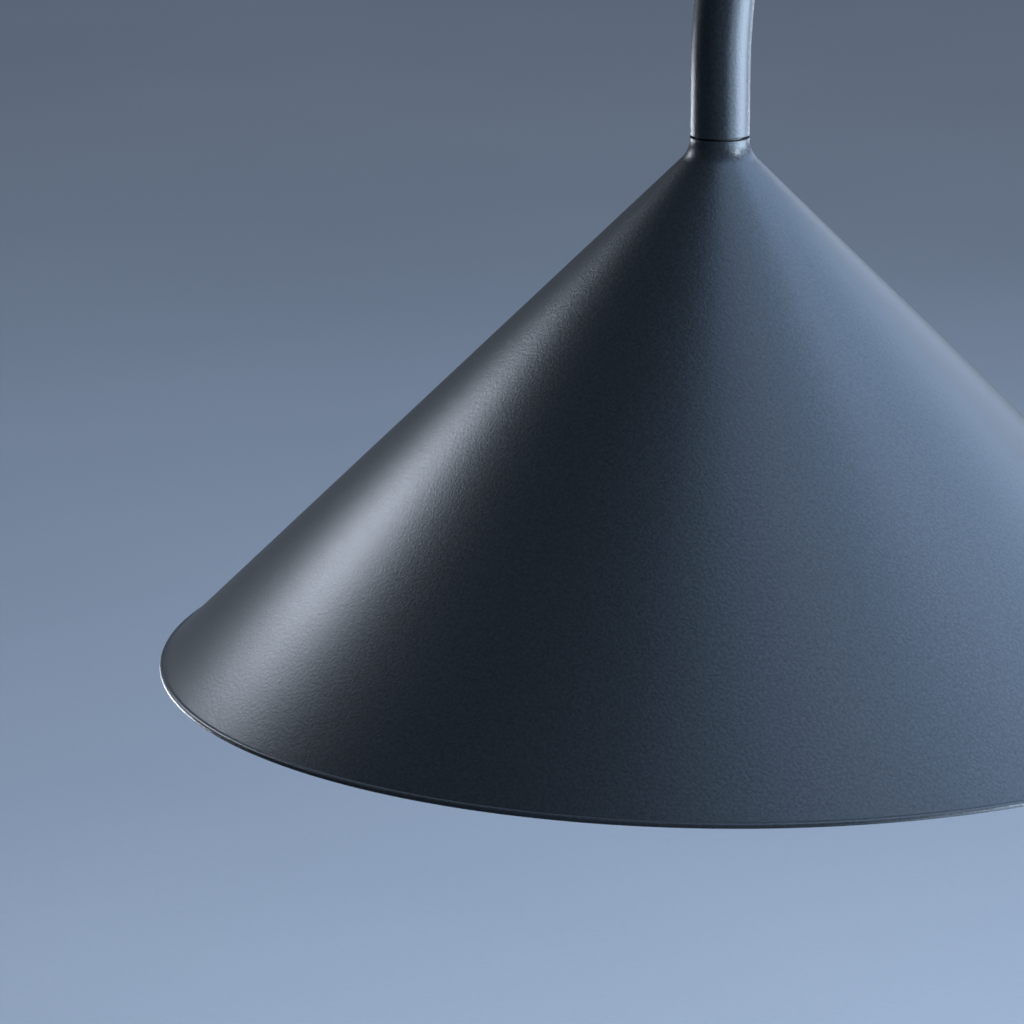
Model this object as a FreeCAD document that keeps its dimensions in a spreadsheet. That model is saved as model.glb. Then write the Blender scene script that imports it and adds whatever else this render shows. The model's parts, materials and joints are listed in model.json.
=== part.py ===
import FreeCAD, Part
import Sketcher
import math
import os
import re

# A two-arm desk lamp: round weighted base, three friction hinges, a bent neck tube and a cone shade.
# Millimetres, +Z up, origin on the floor under the centre of the base. The arms lie in the XZ plane
# and the shade hangs on the -X side.

Vector = FreeCAD.Vector
doc = FreeCAD.newDocument("DeskLamp")

# Driving dimensions: millimetres, and degrees for the angles.
sizes = {
    "tube_dia": 12,
    "tube_bore": 10,
    "spigot_dia": 9.9,
    "spigot_long": 18,
    "grub_dia": 3,
    "lead_dia": 3,
    "lead_bore": 4,
    # arms and rest pose
    "shoulder_tall": 60,
    "lower_long": 402,
    "lower_lean": 12,
    "upper_long": 300,
    "upper_drop": 15,
    # hinges
    "hinge_dia": 24,
    "tongue_thick": 8,
    "washer_thick": 0.4,
    "washer_dia": 20,
    "side_gap": 0.05,
    "cheek_thick": 6.5,
    "web_depth": 13.5,
    "block_long": 20,
    "fork_long": 30,
    "stem_inset": 1.6,
    "taper_wide": 17.5,
    "taper_high": 11.5,
    "collar_start": 17.5,
    "collar_end": 22,
    "stalk_inset": 0.6,
    "edge_break": 0.4,
    "bolt_dia": 5,
    "bolt_hole": 5.1,
    "bolt_head_dia": 9.5,
    "bolt_head_tall": 3,
    "sink_dia": 11,
    "head_sink": 3.3,
    "nut_sink": 4,
    "spring_thick": 1,
    "nut_tall": 2.7,
    "nut_flats": 8,
    "cap_thick": 1.6,
    "cap_edge": 0.5,
    # neck tube
    "neck_straight": 12,
    "neck_bend": 109,
    "neck_turn": 105,
    "neck_tail": 20,
    "seam_gap": 0.4,
    # shade
    "half_angle": 45.4,
    "shade_wall": 1.2,
    "cone_start": 3.2,
    "rim_radius": 113.75,
    "rim_drop": 108.8,
    "bead_tall": 1,
    "bead_round": 0.45,
    "bead_in": 0.3,
    "neck_fillet": 2.5,
    "collar_drop": 9,
    "nipple_dia": 8,
    "nipple_hole": 8.1,
    "nipple_top": 13,
    "nipple_low": 17.5,
    "nipple_bore": 5,
    "insert_low": 1,
    "insert_top": 11,
    "clip_dia": 9.5,
    "clip_tall": 0.95,
    "seam_washer_dia": 10.4,
    "nipple_washer_dia": 17,
    "nipple_washer_thick": 1,
    "nipple_nut_flats": 12,
    "nipple_nut_tall": 2.5,
    # light engine
    "sink_top": 13.5,
    "sink_neck_dia": 18,
    "sink_plate_top": 40,
    "sink_plate_thick": 4,
    "sink_plate_dia": 68,
    "fin_inner": 8,
    "fin_outer": 13,
    "fin_top": 19,
    "fin_thick": 1.6,
    "board_thick": 1.6,
    "chip_side": 3,
    "chip_tall": 0.8,
    "chip_ring_wide": 24,
    "chip_ring_narrow": 12,
    "reflector_top": 46,
    "reflector_low": 70,
    "reflector_lip": 3,
    "reflector_wall": 1.6,
    "diffuser_dia": 124,
    "diffuser_thick": 2,
    "ring_dia": 136,
    "ring_lip": 1.5,
    "ring_overlap": 2,
    "ring_screw_in": 2.8,
    "ring_screw_dia": 2.5,
    "ring_screw_hole": 2.6,
    "ring_screw_long": 7.5,
    "ring_screw_head": 4.4,
    "ring_screw_head_tall": 1.4,
    # base
    "base_dia": 200,
    "base_tall": 18,
    "cover_low": 2.6,
    "cover_wall": 1.5,
    "cover_round": 2.5,
    "pad_thick": 2,
    "pad_inset": 4,
    "pad_hole": 9,
    "plate_thick": 1.2,
    "plate_hole": 4.2,
    "weight_dia": 196,
    "weight_edge": 2,
    "weight_well": 28,
    "bush_dia": 20,
    "bush_flange": 28,
    "bush_low": 9,
    "bush_top": 21,
    "bush_edge": 0.6,
    "spindle_bore": 12.1,
    "spindle_end": 4.6,
    "spindle_dia": 8,
    "spindle_step": 9.5,
    "spindle_washer_dia": 19,
    "spindle_washer_thick": 1.2,
    "spindle_nut_flats": 13,
    "spindle_nut_tall": 3,
    "turret_slope": 1.4,
    "turret_neck_inset": 3,
    "turret_foot": 3,
    "turret_foot_slope": 1.5,
    "screw_circle": 60,
    "screw_dia": 4,
    "screw_head": 7,
    "screw_low": 0.4,
    "screw_top": 10.5,
    "screw_slot_wide": 0.8,
    "screw_slot_deep": 0.7,
    "screw_hole_deep": 12,
    # switch
    "button_x": 62,
    "button_dia": 14,
    "button_rise": 2.8,
    "button_low": 15.2,
    "button_round": 0.8,
    "plunger_dia": 6,
    "plunger_low": 11.2,
    "bezel_gap": 0.3,
    "bezel_wall": 1.5,
    "bezel_lip": 3,
    "bezel_slope": 0.4,
    "bezel_rise": 0.9,
    "switch_side": 12,
    "switch_low": 7,
    "switch_tall": 5.5,
    "switch_well": 6.6,
    "switch_well_deep": 3.5,
    "switch_room": 16,
    "switch_room_deep": 9.6,
    # driver and inlet
    "driver_long": 66,
    "driver_wide": 32,
    "driver_near": 39,
    "driver_low": 6.5,
    "driver_room_edge": 4,
    "driver_room_start": 36,
    "driver_room_end": 74,
    "driver_room_deep": 10,
    "groove_wide": 6,
    "groove_deep": 5,
    "driver_groove": 28,
    "inlet_bore": 6.4,
    "inlet_hole": 8,
    "inlet_start": 84,
    "inlet_long": 14,
    "inlet_high": 9.8,
    "inlet_wide": 9,
    "inlet_tall": 11,
    "inlet_deep": 9.5,
    "inlet_pin": 2,
    "inlet_pin_long": 9,
    "inlet_room": 13,
    "hole_play": 0.05,
}

sheet = doc.addObject("Spreadsheet::Sheet", "sizes")
for row, (word, size) in enumerate(sizes.items(), 1):
    sheet.set(f"A{row}", word)
    sheet.set(f"B{row}", str(size))
    sheet.setAlias(f"B{row}", word)
doc.recompute()

pieces = []


def linked(text):
    """The expression, with each size's name pointed at the sheet."""
    return re.sub(r"[a-z_]+", lambda word: "sizes." + word[0] if word[0] in sizes else word[0], str(text))


def value(text):
    return float(sheet.evalExpression(linked(text)))


def spot(x, y, z, turn=0):
    """A frame at x, y, z, turned about Y: a positive turn swings +Z towards +X."""
    return FreeCAD.Placement(Vector(value(x), value(y), value(z)), FreeCAD.Rotation(Vector(0, 1, 0), turn))


def acrossHinge(frame):
    """The frame with its Z along the hinge axis, which is the old Y."""
    return frame.multiply(FreeCAD.Placement(Vector(), FreeCAD.Rotation(Vector(1, 0, 0), -90)))


# Sketches


def pin(sketch, line, end, corner):
    """Holds one end of a line at two distances from the sketch's origin."""
    for kind, axis, text in zip(("DistanceX", "DistanceY"), (-2, -1), corner):
        size = value(text)
        if abs(size) < 1e-9:
            sketch.addConstraint(Sketcher.Constraint("PointOnObject", line, end, axis))
            continue
        number = sketch.addConstraint(Sketcher.Constraint(kind, -1, 1, line, end, size))
        sketch.setExpression(f"Constraints[{number}]", linked(text))


def polygon(sketch, corners):
    first = sketch.GeometryCount
    points = [Vector(value(x), value(y), 0) for x, y in corners]
    count = len(points)
    for here, there in zip(points, points[1:] + points[:1]):
        sketch.addGeometry(Part.LineSegment(here, there), False)
    for n in range(count):
        after = first + (n + 1) % count
        sketch.addConstraint(Sketcher.Constraint("Coincident", first + n, 2, after, 1))
    for n, corner in enumerate(corners):
        pin(sketch, first + n, 1, corner)


def rectangle(sketch, low, high):
    polygon(sketch, [low, (high[0], low[1]), high, (low[0], high[1])])


def circle(sketch, centre, radius):
    middle = Vector(value(centre[0]), value(centre[1]), 0)
    line = sketch.addGeometry(Part.Circle(middle, Vector(0, 0, 1), value(radius)), False)
    number = sketch.addConstraint(Sketcher.Constraint("Radius", line, value(radius)))
    sketch.setExpression(f"Constraints[{number}]", linked(radius))
    pin(sketch, line, 3, centre)


def stadium(sketch, radius, depth):
    """A half disc about the origin with straight sides running down to the depth."""
    wide = value(radius)
    deep = -value(depth)
    arc = Part.ArcOfCircle(Part.Circle(Vector(), Vector(0, 0, 1), wide), 0, math.pi)
    sketch.addGeometry(arc, False)
    sketch.addGeometry(Part.LineSegment(Vector(-wide, 0, 0), Vector(-wide, deep, 0)), False)
    sketch.addGeometry(Part.LineSegment(Vector(-wide, deep, 0), Vector(wide, deep, 0)), False)
    sketch.addGeometry(Part.LineSegment(Vector(wide, deep, 0), Vector(wide, 0, 0)), False)
    for first, end, second, start in ((0, 2, 1, 1), (1, 2, 2, 1), (2, 2, 3, 1), (3, 2, 0, 1)):
        sketch.addConstraint(Sketcher.Constraint("Coincident", first, end, second, start))
    sketch.addConstraint(Sketcher.Constraint("Coincident", 0, 3, -1, 1))
    sketch.addConstraint(Sketcher.Constraint("PointOnObject", 0, 1, -1))
    sketch.addConstraint(Sketcher.Constraint("PointOnObject", 0, 2, -1))
    for side in (1, 3):
        sketch.addConstraint(Sketcher.Constraint("Vertical", side))
    for kind, line, text in (("Radius", 0, radius), ("Distance", 1, depth)):
        number = sketch.addConstraint(Sketcher.Constraint(kind, line, value(text)))
        sketch.setExpression(f"Constraints[{number}]", linked(text))


def sketchOn(body, role, word, height=0):
    """An empty sketch on one of the body's origin planes, raised along the plane's normal."""
    sketch = body.newObject("Sketcher::SketchObject", f"{body.Name}_{word}")
    plane = next(item for item in body.Origin.OriginFeatures if item.Role == role)
    sketch.AttachmentSupport = (plane, [""])
    sketch.MapMode = "FlatFace"
    if height:
        sketch.setExpression("AttachmentOffset.Base.z", linked(height))
    return sketch


# Features


def newBody(name, frame):
    body = doc.addObject("PartDesign::Body", name)
    body.Label = name
    body.Placement = frame
    pieces.append(body)
    return body


def revolve(body, corners, word="turned"):
    sketch = sketchOn(body, "XZ_Plane", word)
    polygon(sketch, corners)
    feature = body.newObject("PartDesign::Revolution", f"{body.Name}_{word}_solid")
    feature.Profile = sketch
    feature.ReferenceAxis = (sketch, ["V_Axis"])
    feature.Angle = 360
    doc.recompute()
    return feature


def turned(name, frame, corners):
    """A piece made on a lathe: its outline is radius and height, and it turns about the frame's Z."""
    body = newBody(name, frame)
    revolve(body, corners)
    return body


def pad(body, sketch, length, symmetric=False):
    feature = body.newObject("PartDesign::Pad", f"{sketch.Name}_pad")
    feature.Profile = sketch
    feature.setExpression("Length", linked(length))
    if symmetric:
        feature.SideType = "Symmetric"
    doc.recompute()
    return feature


def pocket(body, sketch, depth, symmetric=False, backwards=False):
    """A pocket, which has to take metal away."""
    before = body.Shape.Volume
    feature = body.newObject("PartDesign::Pocket", f"{sketch.Name}_pocket")
    feature.Profile = sketch
    feature.setExpression("Length", linked(depth))
    feature.Reversed = backwards
    if symmetric:
        feature.SideType = "Symmetric"
    doc.recompute()
    if not body.Shape.Volume < before - 0.01:
        raise RuntimeError(f"{sketch.Name} cuts nothing")
    return feature


def turnDown(body, sketch):
    """A lathe cut about the sketch's upright axis, which has to take metal away."""
    before = body.Shape.Volume
    feature = body.newObject("PartDesign::Groove", f"{sketch.Name}_groove")
    feature.Profile = sketch
    feature.ReferenceAxis = (sketch, ["V_Axis"])
    feature.Angle = 360
    doc.recompute()
    if not body.Shape.Volume < before - 0.01:
        raise RuntimeError(f"{sketch.Name} cuts nothing")


def aroundZ(body, feature, count):
    pattern = body.newObject("PartDesign::PolarPattern", f"{feature.Name}_ring")
    pattern.Originals = [feature]
    pattern.Axis = (next(item for item in body.Origin.OriginFeatures if item.Role == "Z_Axis"), [""])
    pattern.Angle = 360
    pattern.Occurrences = count
    body.Tip = pattern
    doc.recompute()
    return pattern


def rimEdges(body, radius, height):
    """The names of the body's circular edges about Z with this radius at this height."""
    names = []
    for number, edge in enumerate(body.Tip.Shape.Edges, 1):
        box = edge.BoundBox
        flat = box.ZLength < 1e-4 and abs(box.ZMin - value(height)) < 1e-3
        if flat and abs(box.XMax - value(radius)) < 1e-3 and isinstance(edge.Curve, Part.Circle):
            names.append(f"Edge{number}")
    return names


def dress(body, kind, size, names, word):
    """A Fillet or a Chamfer on the named edges of the body's last feature."""
    if not names:
        raise RuntimeError(f"{body.Name} has no edge for its {word}")
    base = body.Tip
    feature = body.newObject(f"PartDesign::{kind}", f"{body.Name}_{word}")
    feature.Base = (base, names)
    feature.setExpression("Radius" if kind == "Fillet" else "Size", linked(size))
    doc.recompute()
    return feature


def grubHole(body, height, inner):
    """A cross hole for the grub screw, through the wall on the +Y side."""
    sketch = sketchOn(body, "XZ_Plane", "grub_hole")
    circle(sketch, (0, height), "grub_dia / 2 + hole_play")
    sketch.setExpression("AttachmentOffset.Base.z", linked(f"-({inner})"))
    pocket(body, sketch, "tube_dia")


def together(name, solids, frame):
    """Separate solids kept in one node."""
    group = doc.addObject("Part::Compound", name)
    group.Links = solids
    group.Label = name
    doc.recompute()
    group.Placement = frame
    pieces.append(group)
    return group


def rod(name, radius, height, place):
    part = doc.addObject("Part::Cylinder", name)
    part.setExpression("Radius", linked(radius))
    part.setExpression("Height", linked(height))
    part.Placement = place
    return part


def block(name, sides, place):
    part = doc.addObject("Part::Box", name)
    for side, text in zip(("Length", "Width", "Height"), sides):
        part.setExpression(side, linked(text))
    part.Placement = place
    return part


def hexagon(name, flats, tall, hole, place):
    """A hexagonal nut, one of several solids in a node or a tool for one."""
    prism = doc.addObject("Part::Prism", f"{name}_prism")
    prism.Polygon = 6
    prism.setExpression("Circumradius", linked(f"({flats}) / sqrt(3)"))
    prism.setExpression("Height", linked(tall))
    bore = rod(f"{name}_bore", hole, tall, FreeCAD.Placement())
    nut = doc.addObject("Part::Cut", name)
    nut.Base = prism
    nut.Tool = bore
    doc.recompute()
    nut.Placement = place
    return nut


def asPiece(part, name):
    part.Label = name
    pieces.append(part)
    return part


# Hinges: a fork with two cheeks, a tongue between them and a bolt along Y. The cheeks' outer faces
# are at half the fork's width from the middle.

slotHalf = "(tongue_thick / 2 + side_gap + washer_thick)"
forkHalf = "(tongue_thick / 2 + side_gap + washer_thick + cheek_thick)"


def makeFork(name, frame, stem):
    """A fork whose stem, an outline of radius and height, hangs below the hinge.

    Its block is turned down to a cone at the bottom, where the stem begins.
    """
    body = newBody(name, frame)
    shape = sketchOn(body, "XZ_Plane", "cheeks")
    stadium(shape, "hinge_dia / 2", "block_long")
    pad(body, shape, f"2 * {forkHalf}", symmetric=True)
    taper = sketchOn(body, "XZ_Plane", "taper")
    stemWide = "hinge_dia / 2 - stem_inset"
    polygon(taper, [(stemWide, "-block_long"), ("taper_wide", "-block_long"), ("taper_wide", "-taper_high")])
    turnDown(body, taper)
    revolve(body, stem, "stem")
    slot = sketchOn(body, "XZ_Plane", "slot")
    rectangle(slot, ("-hinge_dia", "-web_depth"), ("hinge_dia", "hinge_dia"))
    pocket(body, slot, f"2 * {slotHalf}", symmetric=True)
    hole = sketchOn(body, "XZ_Plane", "bolt_hole")
    circle(hole, (0, 0), "bolt_hole / 2")
    pocket(body, hole, "3 * hinge_dia", symmetric=True)
    for word, height, deep, backwards in (
        ("head_sink", forkHalf, "head_sink", False),
        ("nut_sink", f"-{forkHalf}", "nut_sink", True),
    ):
        sink = sketchOn(body, "XZ_Plane", word, height)
        circle(sink, (0, 0), "sink_dia / 2")
        pocket(body, sink, deep, backwards=backwards)
    wires = sketchOn(body, "XY_Plane", "wire_way")
    circle(wires, (0, 0), "lead_bore / 2")
    pocket(body, wires, "4 * hinge_dia")
    return body


def forkStem(end):
    """The cone below the fork's block, its shoulder against the tube and its spigot."""
    return [
        (0, "-block_long + 1"),
        ("hinge_dia / 2 - stem_inset", "-block_long + 1"),
        ("hinge_dia / 2 - stem_inset", "-block_long"),
        ("tube_dia / 2", f"-({end})"),
        ("spigot_dia / 2", f"-({end})"),
        ("spigot_dia / 2", f"-({end}) - spigot_long"),
        (0, f"-({end}) - spigot_long"),
    ]


def makeTongue(name, frame):
    body = newBody(name, frame)
    disc = sketchOn(body, "XZ_Plane", "disc")
    circle(disc, (0, 0), "hinge_dia / 2")
    pad(body, disc, "tongue_thick", symmetric=True)
    stem = sketchOn(body, "XZ_Plane", "stem")
    half = "(tube_dia / 2 - stalk_inset)"
    rectangle(stem, (f"-{half}", "bolt_dia"), (half, "collar_start + 1"))
    pad(body, stem, "tongue_thick", symmetric=True)
    revolve(
        body,
        [
            (0, "collar_start"),
            ("tube_dia / 2 - edge_break", "collar_start"),
            ("tube_dia / 2", "collar_start + edge_break"),
            ("tube_dia / 2", "collar_end"),
            ("spigot_dia / 2", "collar_end"),
            ("spigot_dia / 2", "collar_end + spigot_long"),
            (0, "collar_end + spigot_long"),
        ],
        "collar",
    )
    hole = sketchOn(body, "XZ_Plane", "bolt_hole")
    circle(hole, (0, 0), "bolt_hole / 2")
    pocket(body, hole, "2 * tongue_thick", symmetric=True)
    wires = sketchOn(body, "XY_Plane", "wire_way")
    circle(wires, (0, 0), "lead_bore / 2")
    pocket(body, wires, "4 * hinge_dia", backwards=True)
    grubHole(body, "collar_end + spigot_long / 2", "lead_bore / 2 + 0.2")
    return body


def makeHinge(name, frame):
    """The bolt, nut, washers and caps of one hinge, whose head is on the -Y side."""
    across = acrossHinge(frame)
    seat = f"({forkHalf} - head_sink)"
    turned(
        f"{name}_bolt",
        across,
        [
            (0, f"-{seat} - bolt_head_tall"),
            ("bolt_head_dia / 2 - 0.6", f"-{seat} - bolt_head_tall"),
            ("bolt_head_dia / 2", f"-{seat} - bolt_head_tall + 0.6"),
            ("bolt_head_dia / 2", f"-{seat}"),
            ("bolt_dia / 2", f"-{seat}"),
            ("bolt_dia / 2", f"{forkHalf} - 0.2"),
            (0, f"{forkHalf} - 0.2"),
        ],
    )
    washers = []
    for side, low in (("near", f"-{slotHalf}"), ("far", "tongue_thick / 2 + side_gap")):
        at = across.multiply(FreeCAD.Placement(Vector(0, 0, value(low)), FreeCAD.Rotation()))
        disc = rod(f"{name}_{side}_disc", "washer_dia / 2", "washer_thick", FreeCAD.Placement())
        hole = rod(f"{name}_{side}_hole", "bolt_hole / 2 + 0.1", "washer_thick", FreeCAD.Placement())
        washer = doc.addObject("Part::Cut", f"{name}_{side}_washer")
        washer.Base = disc
        washer.Tool = hole
        doc.recompute()
        washer.Placement = at
        washers.append(washer)
    together(f"{name}_friction_washers", washers, FreeCAD.Placement())
    floor = f"{forkHalf} - nut_sink"
    turned(
        f"{name}_spring_washer",
        across,
        [
            ("bolt_hole / 2", f"{floor} + spring_thick - 0.5"),
            ("bolt_head_dia / 2", floor),
            ("bolt_head_dia / 2", f"{floor} + 0.5"),
            ("bolt_hole / 2", f"{floor} + spring_thick"),
        ],
    )
    lift = FreeCAD.Placement(Vector(0, 0, value(f"{floor} + spring_thick")), FreeCAD.Rotation())
    nut = hexagon(f"{name}_nut", "nut_flats", "nut_tall", "bolt_dia / 2", across.multiply(lift))
    asPiece(nut, f"{name}_nut")
    caps = []
    for side, flip in (("near", 180), ("far", 0)):
        place = across.multiply(FreeCAD.Placement(Vector(), FreeCAD.Rotation(Vector(1, 0, 0), flip)))
        at = place.multiply(FreeCAD.Placement(Vector(0, 0, value(forkHalf)), FreeCAD.Rotation()))
        disc = rod(f"{name}_{side}_cap_disc", "hinge_dia / 2", "cap_thick", FreeCAD.Placement())
        doc.recompute()
        cap = doc.addObject("Part::Chamfer", f"{name}_{side}_cap")
        cap.Base = disc
        edges = [
            number
            for number, edge in enumerate(disc.Shape.Edges, 1)
            if edge.BoundBox.ZLength < 1e-6 and edge.BoundBox.ZMin > 1
        ]
        cap.Edges = [(number, value("cap_edge"), value("cap_edge")) for number in edges]
        doc.recompute()
        cap.Placement = at
        caps.append(cap)
    together(f"{name}_caps", caps, FreeCAD.Placement())


# Arms


def makeTube(name, frame, low, high):
    """A straight tube along Z with a grub-screw hole near each end."""
    body = turned(
        name,
        frame,
        [("tube_bore / 2", low), ("tube_dia / 2", low), ("tube_dia / 2", high), ("tube_bore / 2", high)],
    )
    heights = {"low_hole": f"{low} + spigot_long / 2", "high_hole": f"{high} - spigot_long / 2"}
    for word, height in heights.items():
        sketch = sketchOn(body, "XZ_Plane", word)
        circle(sketch, (0, height), "grub_dia / 2 + hole_play")
        pocket(body, sketch, "tube_dia")
    return body


def makeGrubs(name, frame, heights):
    """Grub screws whose tips sit in the spigots and whose ends are just under the tube's surface."""
    screws = []
    for number, height in enumerate(heights):
        at = FreeCAD.Placement(Vector(0, value("lead_bore / 2 + 0.4"), value(height)), FreeCAD.Rotation())
        at = frame.multiply(at).multiply(FreeCAD.Placement(Vector(), FreeCAD.Rotation(Vector(1, 0, 0), -90)))
        long = "tube_dia / 2 - lead_bore / 2 - 0.7"
        body = rod(f"{name}_{number}_body", "grub_dia / 2", long, FreeCAD.Placement())
        sink = FreeCAD.Placement(Vector(0, 0, value("tube_dia / 2 - lead_bore / 2 - 2")), FreeCAD.Rotation())
        key = doc.addObject("Part::Prism", f"{name}_{number}_key")
        key.Polygon = 6
        key.setExpression("Circumradius", linked("grub_dia / 4"))
        key.setExpression("Height", linked("tube_dia"))
        key.Placement = sink
        screw = doc.addObject("Part::Cut", f"{name}_{number}")
        screw.Base = body
        screw.Tool = key
        doc.recompute()
        screw.Placement = at
        screws.append(screw)
    together(name, screws, FreeCAD.Placement())


def makeArm(arm, frame, end, long, start, finish):
    """One arm: tongue at its start, tube, fork at its end, grub screws and the lead inside."""
    makeTongue(f"{start}_tongue", frame)
    makeTube(f"{arm}_tube", frame, "collar_end", f"{long} - fork_long")
    fork = makeFork(f"{finish}_fork", end, forkStem("fork_long"))
    grubHole(fork, "-fork_long - spigot_long / 2", "lead_bore / 2 + 0.2")
    makeGrubs(
        f"{arm}_grub_screws",
        frame,
        ["collar_end + spigot_long / 2", f"{long} - fork_long - spigot_long / 2"],
    )
    lead = frame.multiply(FreeCAD.Placement(Vector(0, 0, value("collar_end")), FreeCAD.Rotation()))
    wires = rod(f"{arm}_lead", "lead_dia / 2", f"{long} - fork_long - collar_end", lead)
    asPiece(wires, f"{arm}_lead")


# Base: foot pad, bottom plate, cast weight, spun cover, pivot bush, switch, driver and inlet.

screwSpot = ("screw_circle * cos(45)", "screw_circle * sin(45)")


def makeFoot():
    wide = "weight_dia / 2 - pad_inset"
    body = turned("foot_pad", here, [(0, 0), (wide, 0), (wide, "pad_thick"), (0, "pad_thick")])
    sketch = sketchOn(body, "XY_Plane", "screw_hole")
    circle(sketch, screwSpot, "pad_hole / 2")
    aroundZ(body, pocket(body, sketch, "pad_thick", backwards=True), 4)


def makeBottomPlate():
    low = "pad_thick"
    high = "pad_thick + plate_thick"
    body = turned(
        "bottom_plate", here, [(0, low), ("weight_dia / 2", low), ("weight_dia / 2", high), (0, high)]
    )
    sketch = sketchOn(body, "XY_Plane", "screw_hole")
    circle(sketch, screwSpot, "plate_hole / 2")
    aroundZ(body, pocket(body, sketch, "base_tall", backwards=True), 4)


def makeWeight():
    low = "pad_thick + plate_thick"
    high = "base_tall - cover_wall"
    body = turned(
        "base_weight",
        here,
        [
            ("bush_dia / 2", "bush_low"),
            ("weight_well / 2", "bush_low"),
            ("weight_well / 2", low),
            ("weight_dia / 2", low),
            ("weight_dia / 2", f"{high} - weight_edge"),
            ("weight_dia / 2 - weight_edge", high),
            ("bush_dia / 2", high),
        ],
    )
    roomHalf = "(driver_long / 2 + driver_room_edge)"
    switchHalf = "switch_room / 2"
    grooveHalf = "groove_wide / 2"
    for word, corner, opposite, depth in (
        (
            "driver_pocket",
            (f"-{roomHalf}", "driver_room_start"),
            (roomHalf, "driver_room_end"),
            "driver_room_deep",
        ),
        (
            "inlet_pocket",
            ("inlet_start - 2", "-inlet_room / 2"),
            ("weight_dia", "inlet_room / 2"),
            "base_tall",
        ),
        (
            "switch_pocket",
            (f"-button_x - {switchHalf}", f"-{switchHalf}"),
            (f"-button_x + {switchHalf}", switchHalf),
            "switch_room_deep",
        ),
        ("lead_groove", ("-button_x", f"-{grooveHalf}"), ("inlet_start", grooveHalf), "groove_deep"),
        (
            "driver_groove",
            (f"driver_groove - {grooveHalf}", 0),
            (f"driver_groove + {grooveHalf}", "driver_near + 1"),
            "groove_deep",
        ),
    ):
        cut = sketchOn(body, "XY_Plane", word, "base_tall - cover_wall")
        rectangle(cut, corner, opposite)
        pocket(body, cut, depth)
    screws = sketchOn(body, "XY_Plane", "screw_hole")
    circle(screws, screwSpot, "screw_dia / 2")
    aroundZ(body, pocket(body, screws, "screw_hole_deep", backwards=True), 4)


def makeCover():
    under = "base_tall - cover_wall"
    inside = "base_dia / 2 - cover_wall"
    middle = "bush_dia / 2 + hole_play"
    body = turned(
        "base_cover",
        here,
        [
            (inside, "cover_low"),
            ("base_dia / 2", "cover_low"),
            ("base_dia / 2", "base_tall"),
            (middle, "base_tall"),
            (middle, under),
            (inside, under),
        ],
    )
    dress(body, "Fillet", "cover_round", rimEdges(body, "base_dia / 2", "base_tall"), "top_round")
    button = sketchOn(body, "XY_Plane", "button_hole", "base_tall + 1")
    circle(button, ("-button_x", 0), "button_dia / 2 + bezel_wall + 2 * hole_play")
    pocket(body, button, "2 * cover_wall + 1")
    inlet = sketchOn(body, "YZ_Plane", "inlet_hole", "base_dia")
    circle(inlet, (0, "inlet_high"), "inlet_hole / 2")
    pocket(body, inlet, "base_dia / 2 + inlet_long")


def makeBush():
    turned(
        "pivot_bush",
        here,
        [
            ("spindle_bore / 2", "bush_low"),
            ("bush_dia / 2", "bush_low"),
            ("bush_dia / 2", "base_tall"),
            ("bush_flange / 2", "base_tall"),
            ("bush_flange / 2", "bush_top - bush_edge"),
            ("bush_flange / 2 - bush_edge", "bush_top"),
            ("spindle_bore / 2", "bush_top"),
        ],
    )
    inner = "spindle_bore / 2 + 4 * hole_play"
    outer = "bush_flange / 2 - 2 * bush_edge"
    top = "bush_top + washer_thick"
    turned("swivel_friction_washer", here, [(inner, "bush_top"), (outer, "bush_top"), (outer, top), (inner, top)])


def slottedScrew(name, head, headTall, shank, shankLow, shankLong, slotWide, slotDeep, place):
    """A cheese-head screw that points up, with its head's slotted face at the bottom of its own frame."""
    headSolid = rod(f"{name}_head", head, headTall, FreeCAD.Placement())
    at = FreeCAD.Placement(Vector(0, 0, value(shankLow)), FreeCAD.Rotation())
    shankSolid = rod(f"{name}_shank", shank, shankLong, at)
    long = f"2 * ({head}) + 1"
    corner = Vector(-value(long) / 2, -value(slotWide) / 2, -value("hole_play"))
    slot = block(f"{name}_slot", (long, slotWide, slotDeep), FreeCAD.Placement(corner, FreeCAD.Rotation()))
    whole = doc.addObject("Part::Fuse", f"{name}_whole")
    whole.Base = headSolid
    whole.Tool = shankSolid
    screw = doc.addObject("Part::Cut", name)
    screw.Base = whole
    screw.Tool = slot
    doc.recompute()
    screw.Placement = place
    return screw


def makeBaseScrews():
    """Four screws from below, in the foot pad's holes."""
    screws = []
    for number in range(4):
        turn = FreeCAD.Placement(Vector(), FreeCAD.Rotation(Vector(0, 0, 1), 45 + 90 * number))
        low = FreeCAD.Placement(Vector(value("screw_circle"), 0, value("screw_low")), FreeCAD.Rotation())
        screws.append(
            slottedScrew(
                f"base_screw_{number}",
                "screw_head / 2",
                "pad_thick - screw_low",
                "screw_dia / 2",
                "screw_low",
                "screw_top - 2 * screw_low",
                "screw_slot_wide",
                "screw_slot_deep",
                turn.multiply(low),
            )
        )
    together("base_screws", screws, FreeCAD.Placement())


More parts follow.
